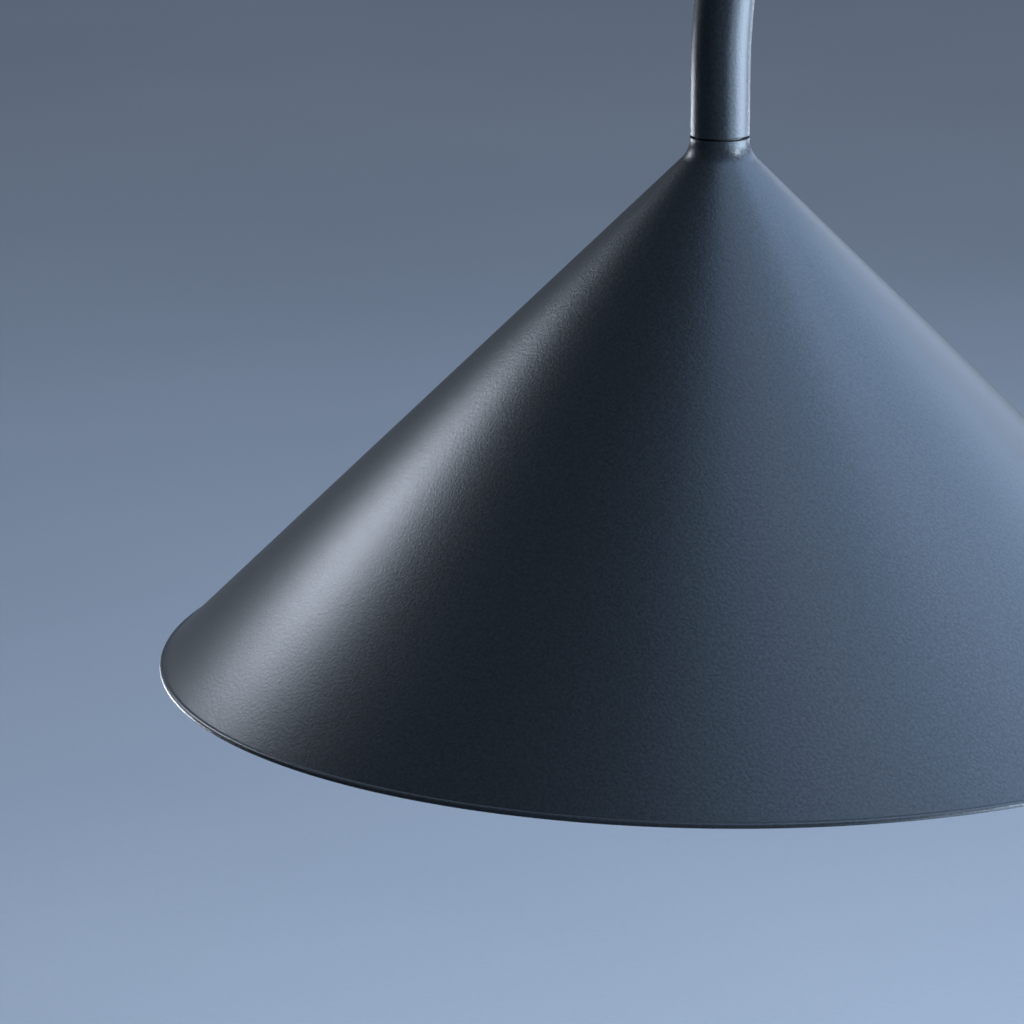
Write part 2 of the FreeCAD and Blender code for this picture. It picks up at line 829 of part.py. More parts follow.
def makeSwitch():
    at = spot("-button_x", 0, 0)
    under = "base_tall - cover_wall"
    inner = "button_dia / 2 + bezel_gap"
    body = "button_dia / 2 + bezel_wall"
    lip = "button_dia / 2 + bezel_lip"
    high = "base_tall + bezel_rise"
    turned(
        "switch_bezel",
        at,
        [
            (inner, under),
            (body, under),
            (body, "base_tall"),
            (lip, "base_tall"),
            (f"{lip} - bezel_slope", high),
            (inner, high),
        ],
    )
    top = "base_tall + button_rise"
    button = turned(
        "switch_button",
        at,
        [
            (0, "plunger_low"),
            ("plunger_dia / 2", "plunger_low"),
            ("plunger_dia / 2", "button_low"),
            ("button_dia / 2", "button_low"),
            ("button_dia / 2", top),
            (0, top),
        ],
    )
    dress(button, "Fillet", "button_round", rimEdges(button, "button_dia / 2", top), "top_round")
    switch = newBody("switch_body", at)
    case = sketchOn(switch, "XY_Plane", "case", "switch_low")
    half = "switch_side / 2"
    rectangle(case, (f"-{half}", f"-{half}"), (half, half))
    pad(switch, case, "switch_tall")
    well = sketchOn(switch, "XY_Plane", "well", "switch_low + switch_tall")
    circle(well, (0, 0), "switch_well / 2")
    pocket(switch, well, "switch_well_deep")


def makeInlet():
    body = newBody("dc_inlet", here)
    case = sketchOn(body, "YZ_Plane", "case", "inlet_start")
    rectangle(
        case,
        ("-inlet_wide / 2", "inlet_high - inlet_tall / 2"),
        ("inlet_wide / 2", "inlet_high + inlet_tall / 2"),
    )
    pad(body, case, "inlet_long")
    bore = sketchOn(body, "YZ_Plane", "bore", "inlet_start + inlet_long")
    circle(bore, (0, "inlet_high"), "inlet_bore / 2")
    pocket(body, bore, "inlet_deep")
    tip = sketchOn(body, "YZ_Plane", "pin", "inlet_start + 3")
    circle(tip, (0, "inlet_high"), "inlet_pin / 2")
    pad(body, tip, "inlet_pin_long")


def makeDriver():
    """The circuit board and, standing on it: a coil, a chip, two terminals and two capacitors."""
    corner = Vector(-value("driver_long / 2"), value("driver_near"), value("driver_low"))
    sides = ("driver_long", "driver_wide", "board_thick")
    asPiece(block("driver_board", sides, FreeCAD.Placement(corner, FreeCAD.Rotation())), "driver_board")

    def onBoard(x, y):
        """A frame on the board's top, measured from the middle of its near edge."""
        return spot(x, f"driver_near + {y}", "driver_low + board_thick")

    parts = [
        block("driver_coil", (16, 14, 7), onBoard(-10, 9)),
        block("driver_chip", (5, 4, 1.6), onBoard(10, 11)),
        block("driver_input", (8, 6, 6), onBoard(23, 2)),
        block("driver_output", (8, 6, 6), onBoard(-31, 2)),
        rod("driver_input_can", 3.15, 7.2, onBoard(22, 21)),
        rod("driver_output_can", 4, 7.2, onBoard(-22, 19)),
    ]
    together("driver_components", parts, here)


def makeTurret(frame):
    """The swivelling shoulder fork on its hollow spindle, and the nut that holds it down."""
    foot = "(bush_top + washer_thick + side_gap - shoulder_tall)"
    step = "spindle_step - shoulder_tall"
    end = "spindle_end - shoulder_tall"
    neck = "hinge_dia / 2 - turret_neck_inset"
    flange = "bush_flange / 2 - cap_edge"
    makeFork(
        "shoulder_fork",
        frame,
        [
            (0, "-block_long + 1"),
            ("hinge_dia / 2 - stem_inset", "-block_long + 1"),
            ("hinge_dia / 2 - stem_inset", "-block_long"),
            (neck, "-block_long - turret_slope"),
            (neck, f"{foot} + turret_foot + turret_foot_slope"),
            (flange, f"{foot} + turret_foot"),
            (flange, foot),
            ("tube_dia / 2", foot),
            ("tube_dia / 2", step),
            ("spindle_dia / 2", step),
            ("spindle_dia / 2", end),
            (0, end),
        ],
    )
    hole = "spindle_dia / 2 + hole_play"
    high = "bush_low - side_gap"
    low = f"{high} - spindle_washer_thick"
    wide = "spindle_washer_dia / 2"
    turned("spindle_washer", here, [(hole, low), (wide, low), (wide, high), (hole, high)])
    seat = spot(0, 0, f"{low} - spindle_nut_tall")
    asPiece(hexagon("spindle_nut", "spindle_nut_flats", "spindle_nut_tall", hole, seat), "spindle_nut")


# Neck and head


def makeNeckTube(frame):
    """The bent tube, drawn from its lower end: straight, a bend towards +X, then a straight tail."""
    body = newBody("neck_tube", frame)
    ring = sketchOn(body, "XY_Plane", "ring")
    circle(ring, (0, 0), "tube_dia / 2")
    circle(ring, (0, 0), "tube_bore / 2")
    path = sketchOn(body, "XZ_Plane", "path")
    bend = value("neck_bend")
    straight = value("neck_straight")
    turn = math.radians(value("neck_turn"))
    round = Part.Circle(Vector(bend, straight, 0), Vector(0, 0, 1), bend)
    arc = Part.ArcOfCircle(round, math.pi - turn, math.pi)
    far = arc.StartPoint
    along = Vector(value("sin(neck_turn)"), value("cos(neck_turn)"), 0)
    path.addGeometry(Part.LineSegment(Vector(), Vector(0, straight, 0)), False)
    path.addGeometry(arc, False)
    path.addGeometry(Part.LineSegment(far, far + along * value("neck_tail")), False)
    path.addConstraint(Sketcher.Constraint("Coincident", 0, 1, -1, 1))
    path.addConstraint(Sketcher.Constraint("PointOnObject", 0, 2, -2))
    path.addConstraint(Sketcher.Constraint("Tangent", 0, 2, 1, 2))
    path.addConstraint(Sketcher.Constraint("Tangent", 1, 1, 2, 1))
    lengths = (("Distance", 0, "neck_straight"), ("Radius", 1, "neck_bend"), ("Distance", 2, "neck_tail"))
    for kind, line, text in lengths:
        number = path.addConstraint(Sketcher.Constraint(kind, line, value(text)))
        path.setExpression(f"Constraints[{number}]", linked(text))
    number = path.addConstraint(Sketcher.Constraint("DistanceX", 2, 1, 2, 2, along.x * value("neck_tail")))
    path.setExpression(f"Constraints[{number}]", linked("neck_tail * sin(neck_turn)"))
    doc.recompute()
    pipe = body.newObject("PartDesign::AdditivePipe", "neck_tube_pipe")
    pipe.Profile = ring
    pipe.Spine = (path, ["Edge1", "Edge2", "Edge3"])
    doc.recompute()
    return body


def makeNeck(wrist, seam):
    makeTongue("wrist_tongue", wrist)
    tube = makeNeckTube(seam.multiply(spot(0, 0, "seam_gap")))
    # The cross hole of the tail's grub screw, drawn square to the tail.
    hole = sketchOn(tube, "XZ_Plane", "grub_hole")
    middle = "(neck_tail - spigot_long / 2)"
    circle(
        hole,
        (
            f"neck_bend * (1 - cos(neck_turn)) + {middle} * sin(neck_turn)",
            f"neck_straight + neck_bend * sin(neck_turn) + {middle} * cos(neck_turn)",
        ),
        "grub_dia / 2 + hole_play",
    )
    pocket(tube, hole, "tube_dia")
    makeGrubs("neck_grub_screw", wrist, ["collar_end + spigot_long / 2"])
    turned(
        "neck_insert",
        seam,
        [
            ("nipple_hole / 2", "insert_low"),
            ("spigot_dia / 2", "insert_low"),
            ("spigot_dia / 2", "insert_top"),
            ("nipple_hole / 2", "insert_top"),
        ],
    )


def makeShade(seam):
    """The spun cone with its thick collar at the top and a rolled bead round the rim."""
    slope = "tan(half_angle)"
    across = "(shade_wall / cos(half_angle))"
    beadTop = "(rim_drop - bead_tall)"

    def coneAt(depth):
        return f"(tube_dia / 2 + ({depth} - cone_start) * {slope})"

    body = turned(
        "shade",
        seam,
        [
            ("nipple_hole / 2", 0),
            ("tube_dia / 2", 0),
            ("tube_dia / 2", "-cone_start"),
            (coneAt(beadTop), f"-{beadTop}"),
            ("rim_radius", f"-{beadTop}"),
            ("rim_radius", "-rim_drop"),
            (f"{coneAt('rim_drop')} - {across} - bead_in", "-rim_drop"),
            (f"{coneAt(beadTop)} - {across} - bead_in", f"-{beadTop}"),
            (f"{coneAt(beadTop)} - {across}", f"-{beadTop}"),
            (f"{coneAt('collar_drop')} - {across}", "-collar_drop"),
            ("nipple_hole / 2", "-collar_drop"),
        ],
    )
    dress(body, "Fillet", "neck_fillet", rimEdges(body, "tube_dia / 2", "-cone_start"), "neck_round")
    outer = rimEdges(body, "rim_radius", f"-{beadTop}") + rimEdges(body, "rim_radius", "-rim_drop")
    dress(body, "Fillet", "bead_round", outer, "bead_round")


def makeSwivel(seam):
    """The hollow nipple that carries the shade, its clip above the insert, and the nut below."""
    radius = "nipple_dia / 2"
    hole = "nipple_hole / 2"
    bore = "nipple_bore / 2"
    turned(
        "head_nipple",
        seam,
        [(bore, "nipple_top"), (radius, "nipple_top"), (radius, "-nipple_low"), (bore, "-nipple_low")],
    )
    clipLow = "insert_top + hole_play"
    clipHigh = f"{clipLow} + clip_tall"
    clip = "clip_dia / 2"
    turned("nipple_clip", seam, [(radius, clipLow), (clip, clipLow), (clip, clipHigh), (radius, clipHigh)])
    thick = "seam_gap - side_gap"
    wide = "seam_washer_dia / 2"
    turned("seam_washer", seam, [(hole, 0), (wide, 0), (wide, thick), (hole, thick)])
    low = "-collar_drop - nipple_washer_thick"
    broad = "nipple_washer_dia / 2"
    turned("nipple_washer", seam, [(hole, "-collar_drop"), (broad, "-collar_drop"), (broad, low), (hole, low)])
    seat = seam.multiply(spot(0, 0, f"{low} - nipple_nut_tall"))
    asPiece(hexagon("nipple_nut", "nipple_nut_flats", "nipple_nut_tall", radius, seat), "nipple_nut")


def makeHeatSink(seam):
    hole = "nipple_hole / 2"
    neck = "sink_neck_dia / 2"
    bore = "nipple_bore / 2"
    under = "-sink_plate_top - sink_plate_thick"
    body = turned(
        "heat_sink",
        seam,
        [
            (hole, "-sink_top"),
            (neck, "-sink_top"),
            (neck, "-sink_plate_top"),
            ("sink_plate_dia / 2", "-sink_plate_top"),
            ("sink_plate_dia / 2", under),
            (bore, under),
            (bore, "-nipple_low"),
            (hole, "-nipple_low"),
        ],
    )
    fin = sketchOn(body, "XZ_Plane", "fin")
    tip = "sink_plate_dia / 2 - 1.5"
    polygon(
        fin,
        [
            ("fin_inner", "-fin_top"),
            ("fin_outer", "-fin_top"),
            (tip, "-sink_plate_top + 1"),
            (tip, "-sink_plate_top - 0.5"),
            ("fin_inner", "-sink_plate_top - 0.5"),
        ],
    )
    aroundZ(body, pad(body, fin, "fin_thick", symmetric=True), 16)


def makeBoard(seam):
    """The round metal-core board, with two rings of chips on its underside."""
    high = "-sink_plate_top - sink_plate_thick"
    low = f"{high} - board_thick"
    bore = "nipple_bore / 2"
    wide = "sink_plate_dia / 2 - 2"
    turned("led_board", seam, [(bore, high), (wide, high), (wide, low), (bore, low)])
    chips = []
    for ring, (count, radius) in enumerate(((12, "chip_ring_wide"), (6, "chip_ring_narrow"))):
        for number in range(count):
            turn = FreeCAD.Placement(Vector(), FreeCAD.Rotation(Vector(0, 0, 1), 360 / count * number))
            corner = spot(f"{radius} - chip_side / 2", "-chip_side / 2", f"{low} - chip_tall")
            at = seam.multiply(turn).multiply(corner)
            chips.append(block(f"chip_{ring}_{number}", ("chip_side", "chip_side", "chip_tall"), at))
    together("led_chips", chips, here)


def ringHoles(body):
    """The three screw holes that the reflector and the retaining ring share."""
    holes = sketchOn(body, "XY_Plane", "screw_hole")
    circle(holes, ("ring_dia / 2 - ring_screw_in", 0), "ring_screw_hole / 2")
    aroundZ(body, pocket(body, holes, "2 * reflector_low"), 3)


def makeReflector(seam):
    lipTop = "-reflector_low + reflector_lip"
    bowl = "diffuser_dia / 2 - 2.5"
    body = turned(
        "reflector",
        seam,
        [
            ("sink_plate_dia / 2 - 1", "-reflector_top"),
            ("sink_plate_dia / 2 - 1 + reflector_wall", "-reflector_top"),
            ("ring_dia / 2 - 2 * ring_screw_in", lipTop),
            ("ring_dia / 2", lipTop),
            ("ring_dia / 2", "-reflector_low"),
            (bowl, "-reflector_low"),
            (bowl, "-reflector_low + reflector_wall"),
        ],
    )
    ringHoles(body)


def makeDiffuser(seam):
    wide = "diffuser_dia / 2"
    low = "-reflector_low - diffuser_thick"
    turned("diffuser", seam, [(0, "-reflector_low"), (wide, "-reflector_low"), (wide, low), (0, low)])


def makeRing(seam):
    """The ring that holds the diffuser, and its three screws."""
    under = "-reflector_low - diffuser_thick"
    low = f"{under} - ring_lip"
    seat = "diffuser_dia / 2 + bezel_gap"
    ring = turned(
        "retaining_ring",
        seam,
        [
            (seat, "-reflector_low"),
            ("ring_dia / 2", "-reflector_low"),
            ("ring_dia / 2", low),
            ("diffuser_dia / 2 - ring_overlap", low),
            ("diffuser_dia / 2 - ring_overlap", under),
            (seat, under),
        ],
    )
    ringHoles(ring)
    screws = []
    for number in range(3):
        turn = FreeCAD.Placement(Vector(), FreeCAD.Rotation(Vector(0, 0, 1), 120 * number))
        at = spot("ring_dia / 2 - ring_screw_in", 0, f"{low} - ring_screw_head_tall")
        screws.append(
            slottedScrew(
                f"ring_screw_{number}",
                "ring_screw_head / 2",
                "ring_screw_head_tall",
                "ring_screw_dia / 2",
                "ring_screw_head_tall / 2",
                "ring_screw_long",
                "fin_thick / 2 - 0.2",
                "ring_screw_head_tall / 2 - 0.1",
                seam.multiply(turn).multiply(at),
            )
        )
    together("ring_screws", screws, here)


# Rest pose: the shoulder leans back, the upper arm runs forward and up, the neck hangs the shade.

here = FreeCAD.Placement()
shoulder = spot(0, 0, "shoulder_tall")
lower = spot(0, 0, "shoulder_tall", value("lower_lean"))
elbow = lower.multiply(spot(0, 0, "lower_long"))
reachX = "lower_long * sin(lower_lean)"
reachZ = "(shoulder_tall + lower_long * cos(lower_lean))"
upperTurn = value("upper_drop") - 90
upper = spot(reachX, 0, reachZ, upperTurn)
wrist = upper.multiply(spot(0, 0, "upper_long"))
# The neck's first leg runs on in line with the upper arm, and its bend ends upright at the seam.
neckBack = "(neck_tail + collar_end)"
seamX = f"neck_bend * (1 - cos(neck_turn)) + {neckBack} * sin(neck_turn)"
seamZ = f"{neckBack} * cos(neck_turn) + neck_bend * sin(neck_turn) + neck_straight + seam_gap"
seam = spot(f"{wrist.Base.x} - ({seamX})", 0, f"{wrist.Base.z} - ({seamZ})")

makeFoot()
makeBottomPlate()
makeBaseScrews()
makeWeight()
makeCover()
makeBush()
makeSwitch()
makeInlet()
makeDriver()
makeTurret(shoulder)
makeHinge("shoulder", shoulder)
makeArm("lower", lower, elbow, "lower_long", "shoulder", "elbow")
makeHinge("elbow", elbow)
makeArm("upper", upper, wrist, "upper_long", "elbow", "wrist")
makeHinge("wrist", wrist)
makeNeck(wrist, seam)
makeShade(seam)
makeSwivel(seam)
makeHeatSink(seam)
makeBoard(seam)
makeReflector(seam)
makeDiffuser(seam)
makeRing(seam)

doc.recompute()
failed = [item.Name for item in doc.Objects if {"Invalid", "Error"} & set(item.State)]
broken = [piece.Label for piece in pieces if piece.Shape.isNull() or not piece.Shape.isValid()]
if failed or broken:
    raise RuntimeError(f"failed: {failed}, broken: {broken}")
os.makedirs("parts", exist_ok=True)
for piece in pieces:
    piece.Shape.exportStep(f"parts/{piece.Label}.step")
print(len(pieces), "sub-parts")
print("shoulder", shoulder.Base, "elbow", elbow.Base, "wrist", wrist.Base, "seam", seam.Base)
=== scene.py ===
import json
import math
import bmesh
import bpy
import numpy as np
from mathutils import Matrix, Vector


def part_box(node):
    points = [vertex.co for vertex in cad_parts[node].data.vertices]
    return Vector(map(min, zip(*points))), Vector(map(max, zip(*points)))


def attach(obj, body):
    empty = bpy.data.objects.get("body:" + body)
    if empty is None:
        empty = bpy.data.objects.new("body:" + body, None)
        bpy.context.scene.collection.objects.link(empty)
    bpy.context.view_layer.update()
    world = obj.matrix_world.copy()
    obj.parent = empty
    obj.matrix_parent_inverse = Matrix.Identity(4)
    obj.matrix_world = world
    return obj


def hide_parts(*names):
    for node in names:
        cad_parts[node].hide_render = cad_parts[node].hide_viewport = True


# A desk lamp in slate-coated metal: round base, two tube arms on three hinges, a bent neck tube
# and a cone shade.
# Shapes are worked out in millimetres and turned to metres as each mesh is made.

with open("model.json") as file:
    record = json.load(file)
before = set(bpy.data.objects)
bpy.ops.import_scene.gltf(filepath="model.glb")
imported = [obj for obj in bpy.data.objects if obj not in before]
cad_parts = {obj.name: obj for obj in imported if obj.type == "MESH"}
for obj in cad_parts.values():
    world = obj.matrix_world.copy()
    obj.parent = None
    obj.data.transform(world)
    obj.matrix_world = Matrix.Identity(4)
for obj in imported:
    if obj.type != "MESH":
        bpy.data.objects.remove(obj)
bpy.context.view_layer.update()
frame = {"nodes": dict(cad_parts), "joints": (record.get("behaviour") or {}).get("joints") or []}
print("frame loaded:", len(frame["nodes"]), "nodes")

mm = 0.001
upWay = np.array([0.0, 0.0, 1.0])
hingeWay = np.array([0.0, 1.0, 0.0])  # every hinge axis lies along Y
pivots = {joint["name"]: np.array(joint["pos_m"]) / mm for joint in frame["joints"] if joint.get("pos_m")}


def unit(way):
    # the way divided by its own length
    return way / np.linalg.norm(way)


lowerWay = unit(pivots["elbow"] - pivots["shoulder"])
upperWay = unit(pivots["wrist"] - pivots["elbow"])


# colour and nodes

def linear(code, alpha=1.0):
    # a six-digit sRGB code as linear light: the low part divides by 12.92, the rest is a power of 2.4
    part = np.array([int(code[n:n + 2], 16) for n in (0, 2, 4)]) / 255
    light = np.where(part <= 0.04045, part / 12.92, ((part + 0.055) / 1.055) ** 2.4)
    return (*light.tolist(), alpha)


def addNode(tree, kind, settings=(), links=()):
    # a node with its properties or sockets set and its inputs linked
    node = tree.nodes.new(kind)
    for name, value in dict(settings).items():
        if isinstance(name, str) and hasattr(node, name):
            setattr(node, name, value)
        else:
            node.inputs[name].default_value = value
    for socket, source in dict(links).items():
        tree.links.new(source, node.inputs[socket])
    return node


noiseSpan = {"From Min": 0.35, "From Max": 0.65}  # the part of a noise's range that holds most of its values
grooveStretch = 0.02  # lathe grooves run round the piece, so they are fifty times longer than wide
grooveDepth = 0.02  # mm


def makeFinish(name, look):
    # every finish: grain and a broad unevenness of colour and gloss, in Object coordinates,
    # plus grooves where turned; colour and gloss follow the weighted sum of the two noises
    material = bpy.data.materials.new(name)
    material.use_nodes = True
    tree = material.node_tree
    tree.nodes.clear()
    spot = addNode(tree, "ShaderNodeTexCoord").outputs["Object"]
    grain = addNode(tree, "ShaderNodeTexNoise", {
        "Scale": 1 / (look["grain"] * mm), "Detail": 3.0, "Roughness": 0.6}, {"Vector": spot})
    cloud = addNode(tree, "ShaderNodeTexNoise", {
        "Scale": 1 / (look["cloud"] * mm), "Detail": 4.0, "Roughness": 0.55}, {"Vector": spot})
    share = look.get("grainShare", 0.35)
    fine = addNode(tree, "ShaderNodeMath", {"operation": "MULTIPLY_ADD", 1: share, 2: 0.0},
                   {0: grain.outputs["Fac"]})
    blend = addNode(tree, "ShaderNodeMath", {"operation": "MULTIPLY_ADD", 1: 1 - share},
                    {0: cloud.outputs["Fac"], 2: fine.outputs[0]})
    tone = addNode(tree, "ShaderNodeMapRange", noiseSpan, {"Value": blend.outputs[0]})
    colour = addNode(tree, "ShaderNodeMix", {
        "data_type": "RGBA", 6: linear(look["dark"]), 7: linear(look["light"])}, {0: tone.outputs["Result"]})
    gloss = addNode(tree, "ShaderNodeMapRange", {
        **noiseSpan, "To Min": look["rough"] - look["roughSpan"],
        "To Max": look["rough"] + look["roughSpan"]}, {"Value": blend.outputs[0]})
    bump = addNode(tree, "ShaderNodeBump", {"Strength": look["bump"], "Distance": look["bumpDepth"] * mm},
                   {"Height": grain.outputs["Fac"]})
    if look.get("lines"):  # fine grooves left by the lathe, along the piece's own UV map
        across = 1 / (look["lines"] * mm)
        surface = addNode(tree, "ShaderNodeUVMap", {"uv_map": "surface"})
        stretch = addNode(tree, "ShaderNodeMapping", {"Scale": (grooveStretch * across, across, 1)},
                          {"Vector": surface.outputs["UV"]})
        grooves = addNode(tree, "ShaderNodeTexNoise", {"Scale": 1.0, "Detail": 2.0},
                          {"Vector": stretch.outputs[0]})
        bump = addNode(tree, "ShaderNodeBump", {"Strength": look["lineBump"], "Distance": grooveDepth * mm},
                       {"Height": grooves.outputs["Fac"], "Normal": bump.outputs["Normal"]})
    shader = addNode(tree, "ShaderNodeBsdfPrincipled", {"Metallic": look["metal"], **look.get("sockets", {})},
                     {"Base Color": colour.outputs[2], "Roughness": gloss.outputs["Result"],
                      "Normal": bump.outputs["Normal"]})
    addNode(tree, "ShaderNodeOutputMaterial", (), {"Surface": shader.outputs[0]})
    return material


looks = {
    # powder-coated aluminium, satin slate with metal flake: a fine orange-peel
    "slate_coat": dict(dark="2e353b", light="394148", metal=0.55, rough=0.34, roughSpan=0.03, grain=0.6,
                       cloud=45, grainShare=0.85, bump=0.45, bumpDepth=0.10,
                       sockets={"Specular IOR Level": 0.5}),
    # the same coat on machined hinge parts
    "slate_aluminium": dict(dark="29323b", light="343f49", metal=0.55, rough=0.34, roughSpan=0.05,
                            grain=0.6, cloud=20, bump=0.25, bumpDepth=0.08),
    # cast iron under thin black enamel: lumpy sand-cast skin
    "coated_iron": dict(dark="17191b", light="25282b", metal=0.1, rough=0.6, roughSpan=0.1, grain=1.6,
                        cloud=14, bump=0.6, bumpDepth=0.4),
    # zinc-plated steel: bright, faintly blue, spangled by handling
    "steel": dict(dark="9aa0a6", light="b9bec3", metal=1.0, rough=0.3, roughSpan=0.1, grain=0.4, cloud=5,
                  bump=0.15, bumpDepth=0.03),
    # blackened steel fasteners: oil-black oxide
    "black_steel": dict(dark="1d1f22", light="2c2f33", metal=0.9, rough=0.38, roughSpan=0.08, grain=0.3,
                        cloud=4, bump=0.2, bumpDepth=0.03),
    # bare turned aluminium: silvery with circular tool marks
    "aluminium": dict(dark="a9adb1", light="c6c9cc", metal=1.0, rough=0.32, roughSpan=0.08, grain=0.5,
                      cloud=8, bump=0.15, bumpDepth=0.03),
    # white baked enamel inside the shade and on the reflector: bright satin with a slight orange peel
    "white_inside": dict(dark="e6e5e0", light="f0efeb", metal=0.0, rough=0.45, roughSpan=0.06, grain=1.2,
                         cloud=30, bump=0.15, bumpDepth=0.08, sockets={"IOR": 1.5}),
    # opal acrylic diffuser: milky, lit through its thickness, smooth front
    "opal": dict(dark="ecebe6", light="f4f3f0", metal=0.0, rough=0.3, roughSpan=0.05, grain=0.8,
                 cloud=25, bump=0.05, bumpDepth=0.03,
                 sockets={"IOR": 1.49, "Subsurface Weight": 0.4, "Subsurface Radius": (0.004, 0.004, 0.004)}),
    # acetal friction washers: waxy off-white
    "friction_plastic": dict(dark="c9c6bc", light="dad7ce", metal=0.0, rough=0.5, roughSpan=0.06,
                             grain=0.5, cloud=5, bump=0.1, bumpDepth=0.03, sockets={"IOR": 1.48}),
    # moulded black nylon: fine spark-eroded texture
    "black_plastic": dict(dark="141516", light="1f2021", metal=0.0, rough=0.5, roughSpan=0.08,
                          grain=0.35, cloud=6, bump=0.3, bumpDepth=0.04, sockets={"IOR": 1.53}),
    # glass-epoxy circuit board under green solder mask
    "board_green": dict(dark="12482c", light="1b5c39", metal=0.0, rough=0.35, roughSpan=0.08, grain=0.5,
                        cloud=9, bump=0.1, bumpDepth=0.03, sockets={"IOR": 1.55}),
    # phosphor gel over the light chips: matt yellow
    "phosphor": dict(dark="d9c25a", light="e6d272", metal=0.0, rough=0.55, roughSpan=0.05, grain=0.2,
                     cloud=2, bump=0.1, bumpDepth=0.02, sockets={"IOR": 1.41}),
    # soft black rubber foot: matt, dusty, with a moulded pebble grain
    "foot_rubber": dict(dark="18191a", light="242526", metal=0.0, rough=0.8, roughSpan=0.08, grain=0.9,
                        cloud=18, bump=0.5, bumpDepth=0.15, sockets={"IOR": 1.52}),
    # turned brass
    "brass": dict(dark="a98a4e", light="c2a362", metal=1.0, rough=0.3, roughSpan=0.08, grain=0.4,
                  cloud=6, bump=0.15, bumpDepth=0.03),
}
finishes = {name: makeFinish(name + "_finish", look) for name, look in looks.items()}
finishes["turned_aluminium"] = makeFinish("turned_aluminium_finish", dict(
    looks["aluminium"], lines=0.12, lineBump=0.35))  # the button's face and bezel, with circular tool marks
finishes["turned_slate"] = makeFinish("turned_slate_finish", dict(
    looks["slate_aluminium"], lines=0.2, lineBump=0.25))  # caps and bush, turned before they were coated

for node in frame["nodes"].values():
    for place in node.material_slots:
        place.material = finishes[place.material.name.split(".")[0]]
print("finishes made:", len(finishes))


# surfaces

def gridFaces(rows, columns):
    # quads between neighbouring rows of a grid whose columns close round
    first = np.arange(rows - 1)[:, None] * columns
    column = np.arange(columns)[None, :]
    after = (column + 1) % columns
    corners = [first + column, first + after, first + columns + after, first + columns + column]
    return np.stack(corners, -1).reshape(-1, 4)


def gridMap(along, columns, width):
    # the same quads' UV corners, in metres: round the piece and along its outline
    row = np.arange(len(along) - 1)[:, None]
    column = np.arange(columns)[None, :]
    u = np.stack([column, column + 1, column + 1, column], -1) * (width / columns) + 0 * row[..., None]
    v = np.stack([along[row], along[row], along[row + 1], along[row + 1]], -1) + 0 * column[..., None]
    return np.stack([u, v], -1).reshape(-1, 2) * mm


def rounded(corners, closed=True, steps=5, longest=6.0):
    # an outline of (x, y, radius) corners; each corner is an arc tangent to both sides, starting
    # radius over tan(half the inside angle) from the corner, and long sides are divided
    corners = np.array(corners, float)
    spot, radius = corners[:, :2], corners[:, 2:]
    before = np.roll(spot, 1, 0) - spot
    after = np.roll(spot, -1, 0) - spot
    if not closed:
        before[0], after[-1] = -after[0], -before[-1]
    before /= np.linalg.norm(before, axis=1, keepdims=True)
    after /= np.linalg.norm(after, axis=1, keepdims=True)
    # half the angle inside the corner
    half = np.arccos(np.clip((before * after).sum(1, keepdims=True), -1, 1)) / 2
    reach = radius / np.tan(half)
    inward = before + after
    inward = inward / np.maximum(np.linalg.norm(inward, axis=1, keepdims=True), 1e-9)
    centre = spot + inward * radius / np.sin(half)
    start, end = spot + before * reach, spot + after * reach
    sweep = (math.pi - 2 * half)[:, None]
    share = np.linspace(0, 1, steps + 1)[None, :, None]
    bent = np.maximum(np.sin(sweep), 1e-9)
    fromStart = np.sin((1 - share) * sweep) * (start - centre)[:, None]
    fromEnd = np.sin(share * sweep) * (end - centre)[:, None]
    arcs = centre[:, None] + (fromStart + fromEnd) / bent
    # a point just outside each end of the arc keeps the flats flat in smooth shading
    hold = np.minimum(0.3 * radius, 0.1)
    arcs = np.concatenate([(start + before * hold)[:, None], arcs, (end + after * hold)[:, None]], 1)
    line = arcs.reshape(-1, 2)
    if closed:
        line = np.concatenate([line, line[:1]])
    gap = np.linalg.norm(np.diff(line, axis=0), axis=1)
    line = line[np.concatenate([[True], gap > 1e-6])]
    gap = np.linalg.norm(np.diff(line, axis=0), axis=1)
    parts = np.maximum(1, np.ceil(gap / longest)).astype(int)
    which = np.repeat(np.arange(len(gap)), parts)
    within = (np.arange(len(which)) - np.repeat(np.cumsum(parts) - parts, parts)) / parts[which]
    fine = line[which] + (line[which + 1] - line[which]) * within[:, None]
    return np.concatenate([fine, line[-1:]])


def straightPath(start, way):
    # stations in millimetres along a line: the start plus station times way; rings stand square to it
    side = np.cross(hingeWay, way)

    def at(station):
        ones = np.ones((len(station), 1))
        return start + station[:, None] * way, side * ones, hingeWay * ones
    return at


def acrossPath(centre):
    # stations along a hinge axis: the centre plus station times the axis
    def at(station):
        ones = np.ones((len(station), 1))
        return centre + station[:, None] * hingeWay, upWay * ones, np.array([1.0, 0, 0]) * ones
    return at


def carried(profile, path, steps=128, finish=0):
    # each (radius, station) of the profile is a ring of that radius, square to the path at that station
    radius, station = np.asarray(profile, float).T
    centre, side, other = path(station)
    angle = np.arange(steps) * (2 * math.pi / steps)
    around = side[:, None] * np.cos(angle)[None, :, None] + other[:, None] * np.sin(angle)[None, :, None]
    points = centre[:, None] + radius[:, None, None] * around
    along = np.concatenate([[0], np.cumsum(np.hypot(np.diff(radius), np.diff(station)))])
    faces = gridFaces(len(radius), steps)
    finish = np.repeat(np.broadcast_to(finish, len(radius) - 1), steps)
    return points.reshape(-1, 3), faces, gridMap(along, steps, 2 * math.pi * radius.max()), finish


def rod(radius, low, high):
    # the outline of a plain round cutter, from its axis out and back
    return [(0, low), (radius, low), (radius, high), (0, high)]


